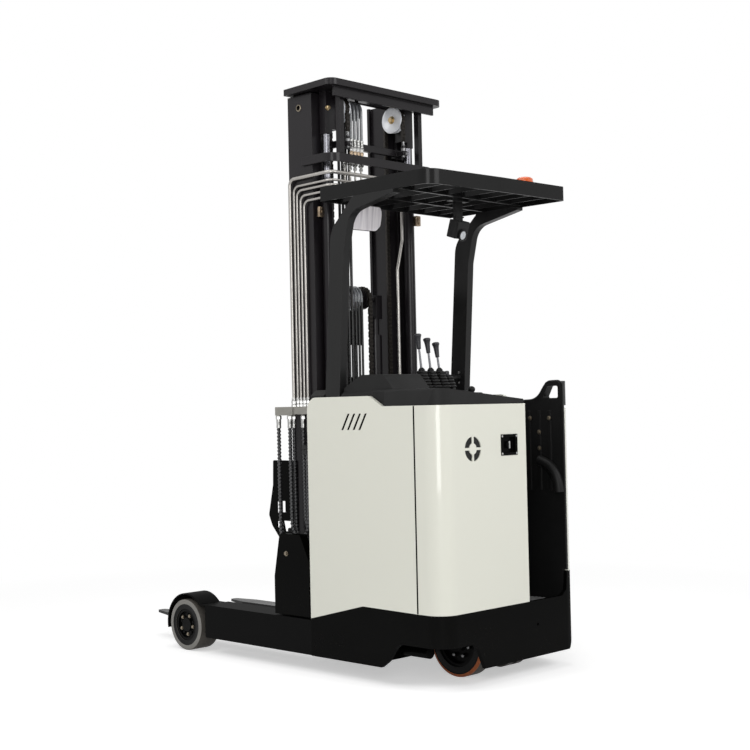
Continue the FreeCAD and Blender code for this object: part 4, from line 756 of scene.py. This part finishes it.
GROOVE_PITCH = 21.0
ROLLER_Y = -13.0
FREE_HOSE_Y = 59.5
FREE_HOSE_REACH = 56.3
FREE_HOSE_RADIUS = 6.0
FREE_HOSE_FOOT_Z = 1250.0
FREE_HOSE_BEND_Z = 1660.0
FREE_HOSE_CROWN_Z = 1792.0
FREE_HOSE_END_Z = 640.0
# Above this height the free lift hoses take the painted highlight
FREE_HIGHLIGHT_ABOVE_Z = 1720.0


def hose_roller():
    bm = bmesh.new()
    profile = [(0, 42), (0, 50.6), (3, 53)]
    for index in range(4):
        middle = 11.5 + index * GROOVE_PITCH
        profile += [(middle - 7, 53), (middle - 4, 50.9), (middle + 4, 50.9), (middle + 7, 53)]
    profile += [(80, 53), (82, 51), (82, 42)]
    add_lathe(bm, (FREE_HEAD_X, ROLLER_Y, FREE_SHEAVE_Z), (0, 1, 0), profile, 56)
    piece("hose_roller", bm, MATERIALS["sheave_white"], "free_lift_head")


# The crown of a free lift hose is painted lighter grey as a highlight.
def painted_highlight_crown(centre, normal):
    return 1 if centre.z > FREE_HIGHLIGHT_ABOVE_Z else 0


def free_lift_hoses():
    bm = bmesh.new()
    for index in range(4):
        y = FREE_HOSE_Y - index * GROOVE_PITCH
        line = hose_over(y, FREE_HEAD_X - FREE_HOSE_REACH, FREE_HEAD_X + FREE_HOSE_REACH, FREE_HOSE_FOOT_Z,
                         FREE_HOSE_BEND_Z, FREE_HOSE_CROWN_Z, FREE_HOSE_END_Z, 14)
        add_sweep(bm, line, FREE_HOSE_RADIUS, 14)
    piece("free_lift_hoses", bm, [MATERIALS["hose_rubber"], HOSE_PAINTED_HIGHLIGHT], "free_lift_head",
          ["head_hoses"], painted_highlight_crown)


# Operator's controls

FOLD_INNER = 0.86
BELLOWS_LEAN = 0.12
LEVER_X = 450.0
LEVER_FOOT = 1285.0
BOOT_HEIGHT = 80.0
LEVERS = ((69.0, 1536.0), (7.0, 1518.0), (-53.0, 1499.0))  # y and the lever's top z
LEVER_KNOB = (
    (0, 8), (2, 9.5), (8, 9.5), (20, 10.5), (44, 12.5), (54, 14.5), (60, 17), (64, 17.8), (68, 16.5),
    (71, 12), (72, 6),
)
SMALL_KNOB = ((0, 10), (4, 12), (20, 14), (25, 12), (27, 6))
GRIP_X = 650.0
GRIP_Y = -405.0
GRIP_Z = 1338.0
GRIP_PROFILE = (
    (0, 17), (5, 17), (7, 11), (24, 9), (26, 14), (32, 16), (38, 15), (46, 13.5), (60, 16), (84, 18),
    (106, 17.5), (118, 14), (124, 8),
)


# A rubber boot of folds. base and top are its half sizes in x and y at either end.
def bellows(bm, x, y, low, high, base, top, folds):
    step = (high - low) / folds
    levels = []
    for fold in range(folds):
        share = fold / folds
        size = [base[i] + (top[i] - base[i]) * share for i in range(2)]
        inner = [side * FOLD_INNER for side in size]
        z = low + (high - low) * share
        levels += [(inner, z), (size, z + step * 0.3), (size, z + step * 0.6), (inner, z + step * 0.95)]
    rings = []
    for (w, d), z in levels:
        middle = x + (z - low) * BELLOWS_LEAN
        corners = [(middle - w, y - d), (middle + w, y - d), (middle + w, y + d), (middle - w, y + d)]
        rings.append([bm.verts.new((u, v, z)) for u, v in rounded(corners, min(w, d) * 0.6, 3)])
    skin(bm, rings)


def levers():
    knobs = bmesh.new()
    stems = bmesh.new()
    boots = bmesh.new()
    for y, top in LEVERS:
        boot_top = LEVER_FOOT + BOOT_HEIGHT
        bellows(boots, LEVER_X, y, LEVER_FOOT + 0.5, boot_top, (44, 29.5), (17, 14), 6)
        collar = [(0, 15), (5, 16), (12, 11), (16, 7)]
        add_lathe(boots, (LEVER_X + 9, y, boot_top - 2), (0.1, 0, 1), collar, 24)
        lean = Vector((16, 6, top - boot_top)).normalized()
        start = Vector((LEVER_X + 10, y, boot_top + 4))
        length = (top - start.z) / lean.z
        add_lathe(stems, start, lean, [(0, 5.5), (length - 60, 4.5)], 16)
        add_lathe(knobs, start + lean * (length - LEVER_KNOB[-1][0]), lean, LEVER_KNOB, 28)
    bellows(boots, LEVER_X + 2, -104, LEVER_FOOT + 0.5, 1341, (40, 22), (24, 16), 4)
    bellows(boots, LEVER_X + 2, -128, 1235.5, 1300, (34, 24), (14, 12), 5)
    add_lathe(knobs, (LEVER_X + 5, -100, 1338), (0.1, 0.1, 1), SMALL_KNOB, 24)
    add_lathe(stems, (LEVER_X + 5, -128, 1298), (0.02, 0.75, 1), [(0, 5), (52, 5)], 16)
    piece("lever_knobs", knobs, KNOB, "chassis")
    piece("lever_stems", stems, STEM, "chassis")
    add_lathe(boots, (GRIP_X, GRIP_Y - 0.3, GRIP_Z), (0, 1, 0), GRIP_PROFILE, 28)
    piece("lever_bellows", boots, MATERIALS["lamp_black"], "chassis", ["levers"])


def grip_bolts():
    bm = bmesh.new()
    for z in (GRIP_Z - 25, GRIP_Z + 25):
        add_hex(bm, (GRIP_X - 4, GRIP_Y - 0.2, z), (0, 1, 0), 6, 5)
    piece("grip_bolts", bm, NICKEL, "chassis")


STEERING_SEAT = 1235.0
STEERING_HUB = ((0, 20), (4, 17), (14, 16), (18, 27), (30, 30), (36, 26), (38, 16))
RIM_HEIGHT = 20.0
RIM_RADIUS = 80.5
RIM_THICK = 7.5
RIM_STEPS = 16
SPOKES = 3
SPOKE_TURN = 0.4
SPOKE_POINTS = ((20, 26), (50, 24), (78, 20))  # way out and height
SPINNER_KNOB = (
    (0, 8), (12, 7), (14, 10), (18, 14.5), (24, 17), (30, 17.4), (36, 15), (41, 9), (43, 3),
)


def wheel_rim():
    bm = bmesh.new()
    foot = Vector((STEERING.x, STEERING.y, STEERING_SEAT))
    up = (0, 0, 1)
    add_lathe(bm, foot + Vector((0, 0, 0.4)), up, STEERING_HUB, 36)
    rim = []
    for step in range(RIM_STEPS):
        angle = 2 * math.pi * step / RIM_STEPS
        rim.append((RIM_HEIGHT + RIM_THICK * math.cos(angle), RIM_RADIUS + RIM_THICK * math.sin(angle)))
    add_lathe(bm, foot, up, rim, 56, closed=True)
    for index in range(SPOKES):
        angle = 2 * math.pi * index / SPOKES + SPOKE_TURN
        out = Vector((math.cos(angle), math.sin(angle), 0))
        spoke = [foot + out * reach + Vector((0, 0, height)) for reach, height in SPOKE_POINTS]
        add_sweep(bm, led_line(spoke, 6), 6.5, 12)
    add_lathe(bm, foot + Vector((-71, 31, 14)), up, SPINNER_KNOB, 28)
    piece("steering_rim", bm, MATERIALS["lamp_black"], "steering_wheel", ["steering_wheel"])


# Guard fittings

BEACON_Y = -389.0
BEACON_PLATE_TOP = 2199.0
LENS_Z = 2224.0
LENS_RADIUS = 43.5
LENS_FOLDS = 6


def beacon_lamp():
    low, high = truck_box("beacon")
    x = (low.x + high.x) / 2
    base = bmesh.new()
    add_box(base, low, (high.x, high.y, BEACON_PLATE_TOP), 1.5)
    foot = (x, BEACON_Y, BEACON_PLATE_TOP - 1)
    add_lathe(base, foot, (0, 0, 1), [(0, 46), (20, 46), (24, 44), (26, 40)], 44)
    piece("beacon_base", base, MATERIALS["lamp_black"], "chassis")
    lens = bmesh.new()
    profile = [(0, LENS_RADIUS)]
    for index in range(LENS_FOLDS):
        place = 2 + index * 6
        radius = LENS_RADIUS - 0.9 * index
        profile += [(place, radius), (place + 3, radius + 0.8), (place + 5, radius - 0.4)]
    profile += [(40, 36), (44, 30), (46, 20), (47, 8)]
    add_lathe(lens, (x, BEACON_Y, LENS_Z), (0, 0, 1), profile, 48)
    piece("beacon_lens", lens, MATERIALS["lamp_orange"], "chassis", ["beacon"])


LAMP_FACE = Vector((317, -70, 1985))
LAMP_LOOK = Vector((-0.953, 0, -0.302))
RIB_COUNT = 5
RIB_PITCH = 15.0
RIB_Y = -104.0


# Bezel and lens of the work light, and the ribs on its bracket.
def work_lamp():
    bm = bmesh.new()
    foot = LAMP_FACE + LAMP_LOOK * 3
    add_lathe(bm, foot, LAMP_LOOK, [(0, 21), (0, 27), (6, 27), (8, 25), (8, 21)], 32, closed=True)
    for index in range(RIB_COUNT):
        y = RIB_Y + index * RIB_PITCH
        add_box(bm, (330, y, 2068), (346, y + 5, 2074), 0.8)
    piece("work_lamp_bezel", bm, MATERIALS["lamp_black"], "chassis")
    bm = bmesh.new()
    add_lathe(bm, foot, LAMP_LOOK, [(0, 20.8), (4, 20.8), (6, 17), (7.5, 10), (8, 3)], 32)
    piece("work_lamp_lens", bm, LENS, "chassis")


MIRROR_SHAPE = ((345, 2012), (300, 2130), (164, 2130), (152, 2100), (156, 2040), (184, 2014))  # y and z
MIRROR_MIDDLE = Vector((248, 2074))
MIRROR_X = 622.0
MIRROR_TILT = math.radians(-8)
GLASS_SHARE = 0.955


# A plate of the mirror's outline, tilted about the middle of the mirror.
def mirror_plate(outline, radius, low, high):
    bm = bmesh.new()
    add_plate(bm, rounded(outline, radius), "x", low, high)
    tilt = Matrix.Translation((MIRROR_X, 0, MIRROR_MIDDLE.y)) @ Matrix.Rotation(MIRROR_TILT, 4, "Y")
    tilt = tilt @ Matrix.Translation((-MIRROR_X, 0, -MIRROR_MIDDLE.y))
    bmesh.ops.transform(bm, matrix=tilt, verts=bm.verts)
    return bm


def mirror():
    bm = mirror_plate(MIRROR_SHAPE, 14, 613, 632)
    add_lathe(bm, (634, 243, 2085), (0, 0, 1), [(0, 7), (57, 7)], 16)
    add_box(bm, (620, 200, 2141.5), (650, 326, 2147.6), 1)
    add_box(bm, (620, 232, 2118), (644, 254, 2143), 3)
    piece("mirror_body", bm, MATERIALS["mirror_shell"], "chassis", ["mirror"])
    inner = [tuple(MIRROR_MIDDLE + (Vector(point) - MIRROR_MIDDLE) * GLASS_SHARE) for point in MIRROR_SHAPE]
    # The glass carries the painted reflection.
    piece("mirror_glass", mirror_plate(inner, 12, 611, 614), GLASS, "chassis")


# Chassis details

VENT_Y = 255.0
VENT_Z = 1015.0
VENT_RADIUS = 52.8
VENT_SPOKES = 36
SCREW_YS = (-36, 62)
SCREW_ZS = (987, 1063)


def vent_mesh():
    bm = bmesh.new()
    add_lathe(bm, (9, VENT_Y, VENT_Z), (-1, 0, 0), [(0, VENT_RADIUS), (4, VENT_RADIUS)], 48)
    centre = Vector((4.5, VENT_Y, VENT_Z))
    for index in range(VENT_SPOKES):
        angle = 2 * math.pi * index / VENT_SPOKES
        out = Vector((0, math.cos(angle), math.sin(angle)))
        add_sweep(bm, [centre + out * reach for reach in (20, 40, 52)], 1.3, 6)
    piece("vent_mesh", bm, MESH, "chassis")


# Screws of the emergency switch's plate and the bright bar in its middle.
def switch_screws():
    bm = bmesh.new()
    for z in SCREW_ZS:
        for y in SCREW_YS:
            add_lathe(bm, (-2.8, y, z), (-1, 0, 0), [(0, 5), (1.2, 4.6), (2, 2.5)], 16)
    add_box(bm, (-4, 9, 1009), (2.5, 17, 1041), 1.5)
    piece("switch_screws", bm, NICKEL, "chassis")


SLOT_COUNT = 4
SLOT_X = 588.0
SLOT_PITCH = 36.0
SLOT_WIDTH = 12.6
SLOT_SLANT = 42.0
SLOT_LOW = 1103.2
SLOT_HIGH = 1174.8
SEAL_REAR_X = 143.2
SEAL_FRONT_X = 147.8
SEAL_LIP = 1.7
SEAL_TOP = 1203.0


# Black faces in the slanted slots of the side panels, painted shade where the slots open into the dark
# inside, and the seals between them and the rear panels.
def slot_shade_and_seals():
    bm = bmesh.new()
    for side in (1, -1):
        for index in range(SLOT_COUNT):
            x = SLOT_X - 0.2 - index * SLOT_PITCH
            outline = [(x, SLOT_LOW), (x - SLOT_WIDTH, SLOT_LOW), (x - SLOT_WIDTH - SLOT_SLANT, SLOT_HIGH),
                       (x - SLOT_SLANT, SLOT_HIGH)]
            add_plate(bm, outline, "y", *sorted((side * (HALF_WIDTH - 7), side * (HALF_WIDTH - 1.5))))
        low, high = sorted((side * (HALF_WIDTH - 7), side * (HALF_WIDTH + 0.6)))
        add_box(bm, (SEAL_REAR_X, low, 328), (SEAL_FRONT_X, high, SEAL_TOP))
        low, high = sorted((side * (HALF_WIDTH - 0.1), side * (HALF_WIDTH + 0.6)))
        add_box(bm, (SEAL_REAR_X - SEAL_LIP, low, 329), (SEAL_FRONT_X + SEAL_LIP, high, SEAL_TOP))
    piece("slot_shade_and_seals", bm, MATT, "chassis")


WALL_BOLTS = ((188, 1135), (77, 1134), (137, 1070), (137, 995))  # x and z
WALL_RIM = (  # x and z
    (11, 985), (11, 1200), (11, 1301), (60, 1301), (96, 1299), (150, 1216), (250, 1212), (400, 1212),
)
KNEE_PAD = ((138, 939), (78, 924), (28, 854), (26, 794))  # x and z


def wall_bolts():
    bm = bmesh.new()
    for x, z in WALL_BOLTS:
        add_bolt(bm, (x, WALL_FACE_Y - 0.4, z), (0, 1, 0), [(0, 11), (2, 11), (2.4, 8)], 2.2, 7.5, 5, 22)
    piece("wall_bolts", bm, BOLT_DARK, "chassis")


# Rounded edge of the right wall.
def wall_rim():
    bm = bmesh.new()
    add_sweep(bm, led_line([(x, WALL_FACE_Y - 14, z) for x, z in WALL_RIM], 10), 9.5, 18)
    piece("wall_rim", bm, MATERIALS["lamp_black"], "chassis")


# Thick rounded pad on the right wall beside the way in.
def knee_pad():
    bm = bmesh.new()
    add_sweep(bm, led_line([(x, WALL_FACE_Y + 4, z) for x, z in KNEE_PAD], 8), 24.0, 20)
    piece("knee_pad", bm, MATERIALS["wall_plastic"], "chassis")


# Wheels

LOAD_TYRE = (
    (0, 80), (0, 103), (-0.8, 104.5), (0, 121), (1.5, 125), (5, 127), (113, 127), (116.5, 125), (118, 121),
    (118, 80),
)
LOAD_WALL_RADIUS = 103.5
LOAD_BOLTS = 5
LOAD_BOLT_CIRCLE = 48.0
LOAD_BOLT_TURN = math.pi * 1.05
LOAD_HUB_Y = HALF_WIDTH - 9.2
DRIVE_TYRE = (
    (0, 105), (0, 128), (2, 132), (0, 136), (1, 144), (4, 148), (9, 150), (81, 150), (87, 147), (90, 140),
    (90, 105),
)
DRIVE_WALL_RADIUS = 134.0
DRIVE_BAND_Y = 92.0
DRIVE_NUTS = 7
DRIVE_NUT_CIRCLE = 60.0
DRIVE_NUT_DEPTH = 15.2


# Tread brown and partly darkened as painted shade, and a grey side wall that is black inside.
def load_zone(centre, normal):
    if abs(normal.y) < 0.5:
        return 1
    return 2 if math.hypot(centre.x - LOAD.x, centre.z - LOAD.z) < LOAD_WALL_RADIUS else 0


def load_wheels():
    for side, name in ((1, "left"), (-1, "right")):
        body = "load_wheel_" + name
        bm = bmesh.new()
        add_lathe(bm, (LOAD.x, side * HALF_WIDTH, LOAD.z), (0, -side, 0), LOAD_TYRE, 96, closed=True)
        piece("tyre_" + name, bm, [MATERIALS["load_tyre_rubber"], TREAD_WEAR_AND_SHADE, TYRE_WALL], body,
              ["load_tyre_" + name], load_zone)
        bm = bmesh.new()
        for index in range(LOAD_BOLTS):
            angle = 2 * math.pi * index / LOAD_BOLTS + LOAD_BOLT_TURN
            place = (LOAD.x + LOAD_BOLT_CIRCLE * math.sin(angle), side * LOAD_HUB_Y,
                     LOAD.z + LOAD_BOLT_CIRCLE * math.cos(angle))
            add_bolt(bm, place, (0, side, 0), [(0, 9), (1.5, 9), (1.8, 7)], 1.5, 7.5, 5, 20)
        piece("hub_bolts_" + name, bm, BOLT_DARK, body)


# Black side wall, orange band on the outer part of the tread and brown tread behind it.
def drive_zone(centre, normal):
    if math.hypot(centre.x - DRIVE.x, centre.z - DRIVE.z) < DRIVE_WALL_RADIUS:
        return 0
    return 1 if centre.y > DRIVE_BAND_Y else 2


def drive_wheel():
    bm = bmesh.new()
    add_lathe(bm, (DRIVE.x, DRIVE_FACE_Y, DRIVE.z), (0, -1, 0), DRIVE_TYRE, 96, closed=True)
    piece("drive_tyre_rings", bm, [TYRE_WALL, BAND, TREAD_WEAR_AND_SHADE], "drive_wheel",
          ["drive_tyre"], drive_zone)
    bm = bmesh.new()
    for index in range(DRIVE_NUTS):
        angle = 2 * math.pi * index / DRIVE_NUTS
        place = (DRIVE.x + DRIVE_NUT_CIRCLE * math.sin(angle), DRIVE_FACE_Y - DRIVE_NUT_DEPTH,
                 DRIVE.z + DRIVE_NUT_CIRCLE * math.cos(angle))
        add_hex(bm, place, (0, 1, 0), 8, 4)
    piece("drive_nuts", bm, DARK_STEEL, "drive_wheel")


# Studio, in metres and watts

LIGHTS = (  # name, place, target, width and height, power
    ("key", (-5.4, 5.2, 2.25), (-0.6, 0.2, 1.3), (2.4, 3.7), 155),
    ("side", (0.7, 3.6, 4.5), (0.0, 0.2, 1.6), (3.0, 2.0), 72),
    ("rear", (-5.0, -0.8, 3.4), (-0.5, 0.0, 1.0), (2.6, 2.4), 85),
    ("top", (-0.2, 0.3, 5.4), (-0.2, 0.0, 0.0), (3.5, 3.0), 60),
)
WHITE = (1.0, 1.0, 1.0, 1.0)
WORLD_LIGHT = 0.32
FLOOR_COLOUR = (0.85, 0.85, 0.85, 1.0)
FLOOR_LIFT = 0.47
FLOOR_HALF = 60.0
SHADOW_UNTIL = 1.8
WHITE_FROM = 4.0


def area_light(name, place, target, size, power):
    data = bpy.data.lights.new(name, "AREA")
    data.shape = "RECTANGLE"
    data.size = size[0]
    data.size_y = size[1]
    data.energy = power
    light = bpy.data.objects.new(name, data)
    light.location = place
    light.rotation_euler = (Vector(target) - Vector(place)).to_track_quat("-Z", "Y").to_euler()
    bpy.context.scene.collection.objects.link(light)


# One for the rays that see the background directly, in a mirror or through glass.
def seen_directly(tree):
    path = tree.nodes.new("ShaderNodeLightPath")
    total = path.outputs["Is Camera Ray"]
    for ray in ("Is Glossy Ray", "Is Transmission Ray"):
        add = tree.nodes.new("ShaderNodeMath")
        add.operation = "ADD"
        add.use_clamp = True
        tree.links.new(total, add.inputs[0])
        tree.links.new(path.outputs[ray], add.inputs[1])
        total = add.outputs["Value"]
    return total


def mix_shaders(tree, factor, first, second, surface):
    mix = tree.nodes.new("ShaderNodeMixShader")
    tree.links.new(factor, mix.inputs["Fac"])
    tree.links.new(first, mix.inputs[1])
    tree.links.new(second, mix.inputs[2])
    tree.links.new(mix.outputs["Shader"], surface)


def white_world():
    world = bpy.data.worlds.new("studio")
    world.use_nodes = True
    tree = world.node_tree
    lit = tree.nodes["Background"]
    lit.inputs["Color"].default_value = WHITE
    lit.inputs["Strength"].default_value = WORLD_LIGHT
    seen = tree.nodes.new("ShaderNodeBackground")
    seen.inputs["Color"].default_value = WHITE
    seen.inputs["Strength"].default_value = 1.0
    mix_shaders(tree, seen_directly(tree), lit.outputs["Background"], seen.outputs["Background"],
                tree.nodes["World Output"].inputs["Surface"])
    return world


# Its own light lifts the floor where it is seen, and away from the truck it turns white.
def floor_material():
    material = bpy.data.materials.new("studio_floor")
    material.use_nodes = True
    tree = material.node_tree
    shader = tree.nodes["Principled BSDF"]
    shader.inputs["Base Color"].default_value = FLOOR_COLOUR
    shader.inputs["Roughness"].default_value = 0.9
    shader.inputs["Specular IOR Level"].default_value = 0.0
    shader.inputs["Emission Color"].default_value = WHITE
    seen = seen_directly(tree)
    lift = tree.nodes.new("ShaderNodeMath")
    lift.operation = "MULTIPLY"
    lift.inputs[1].default_value = FLOOR_LIFT
    tree.links.new(seen, lift.inputs[0])
    tree.links.new(lift.outputs["Value"], shader.inputs["Emission Strength"])
    white = tree.nodes.new("ShaderNodeEmission")
    white.inputs["Color"].default_value = WHITE
    coordinates = tree.nodes.new("ShaderNodeTexCoord")
    distance = tree.nodes.new("ShaderNodeVectorMath")
    distance.operation = "LENGTH"
    tree.links.new(coordinates.outputs["Object"], distance.inputs[0])
    far = ranged(tree, distance.outputs["Value"], 0.0, 1.0, SHADOW_UNTIL, WHITE_FROM)
    gate = tree.nodes.new("ShaderNodeMath")
    gate.operation = "MULTIPLY"
    tree.links.new(far, gate.inputs[0])
    tree.links.new(seen, gate.inputs[1])
    mix_shaders(tree, gate.outputs["Value"], shader.outputs["BSDF"], white.outputs["Emission"],
                tree.nodes["Material Output"].inputs["Surface"])
    return material


def pale_floor():
    half = FLOOR_HALF
    corners = [(-half, -half, 0), (half, -half, 0), (half, half, 0), (-half, half, 0)]
    mesh = bpy.data.meshes.new("floor")
    mesh.from_pydata(corners, [], [(0, 1, 2, 3)])
    mesh.materials.append(floor_material())
    floor = bpy.data.objects.new("floor", mesh)
    bpy.context.scene.collection.objects.link(floor)


def studio():
    scene = bpy.context.scene
    scene.view_settings.view_transform = "Standard"
    scene.world = white_world()
    for light in LIGHTS:
        area_light(*light)
    pale_floor()


def camera():
    turn = CAMERA_TURN
    pitch = CAMERA_PITCH
    forward = Vector((math.cos(pitch) * math.cos(turn), -math.cos(pitch) * math.sin(turn), math.sin(pitch)))
    level = Vector((-math.sin(turn), -math.cos(turn), 0.0))
    upright = level.cross(forward)
    right = level * math.cos(CAMERA_ROLL) + upright * math.sin(CAMERA_ROLL)
    up = upright * math.cos(CAMERA_ROLL) - level * math.sin(CAMERA_ROLL)
    data = bpy.data.cameras.new("camera")
    data.lens = CAMERA_LENS
    data.sensor_width = 36.0
    data.clip_end = 200.0
    view = bpy.data.objects.new("camera", data)
    view.matrix_world = Matrix((
        (right.x, up.x, -forward.x, CAMERA_PLACE.x),
        (right.y, up.y, -forward.y, CAMERA_PLACE.y),
        (right.z, up.z, -forward.z, CAMERA_PLACE.z),
        (0.0, 0.0, 0.0, 1.0),
    ))
    bpy.context.scene.collection.objects.link(view)
    bpy.context.scene.camera = view


camera()
studio()
dress_nodes()
lift_chains()
free_lift_chains()
sheaves()
mast_hoses()
hose_carrier()
risers()
mast_head_bolt()
anchor_studs()
lifting_rings()
barrel_clamps()
carriage_bolts()
manifold_fittings()
hanging_hoses()
hose_clamp()
hose_roller()
free_lift_hoses()
levers()
grip_bolts()
wheel_rim()
beacon_lamp()
work_lamp()
mirror()
vent_mesh()
switch_screws()
slot_shade_and_seals()
wall_bolts()
wall_rim()
knee_pad()
load_wheels()
drive_wheel()
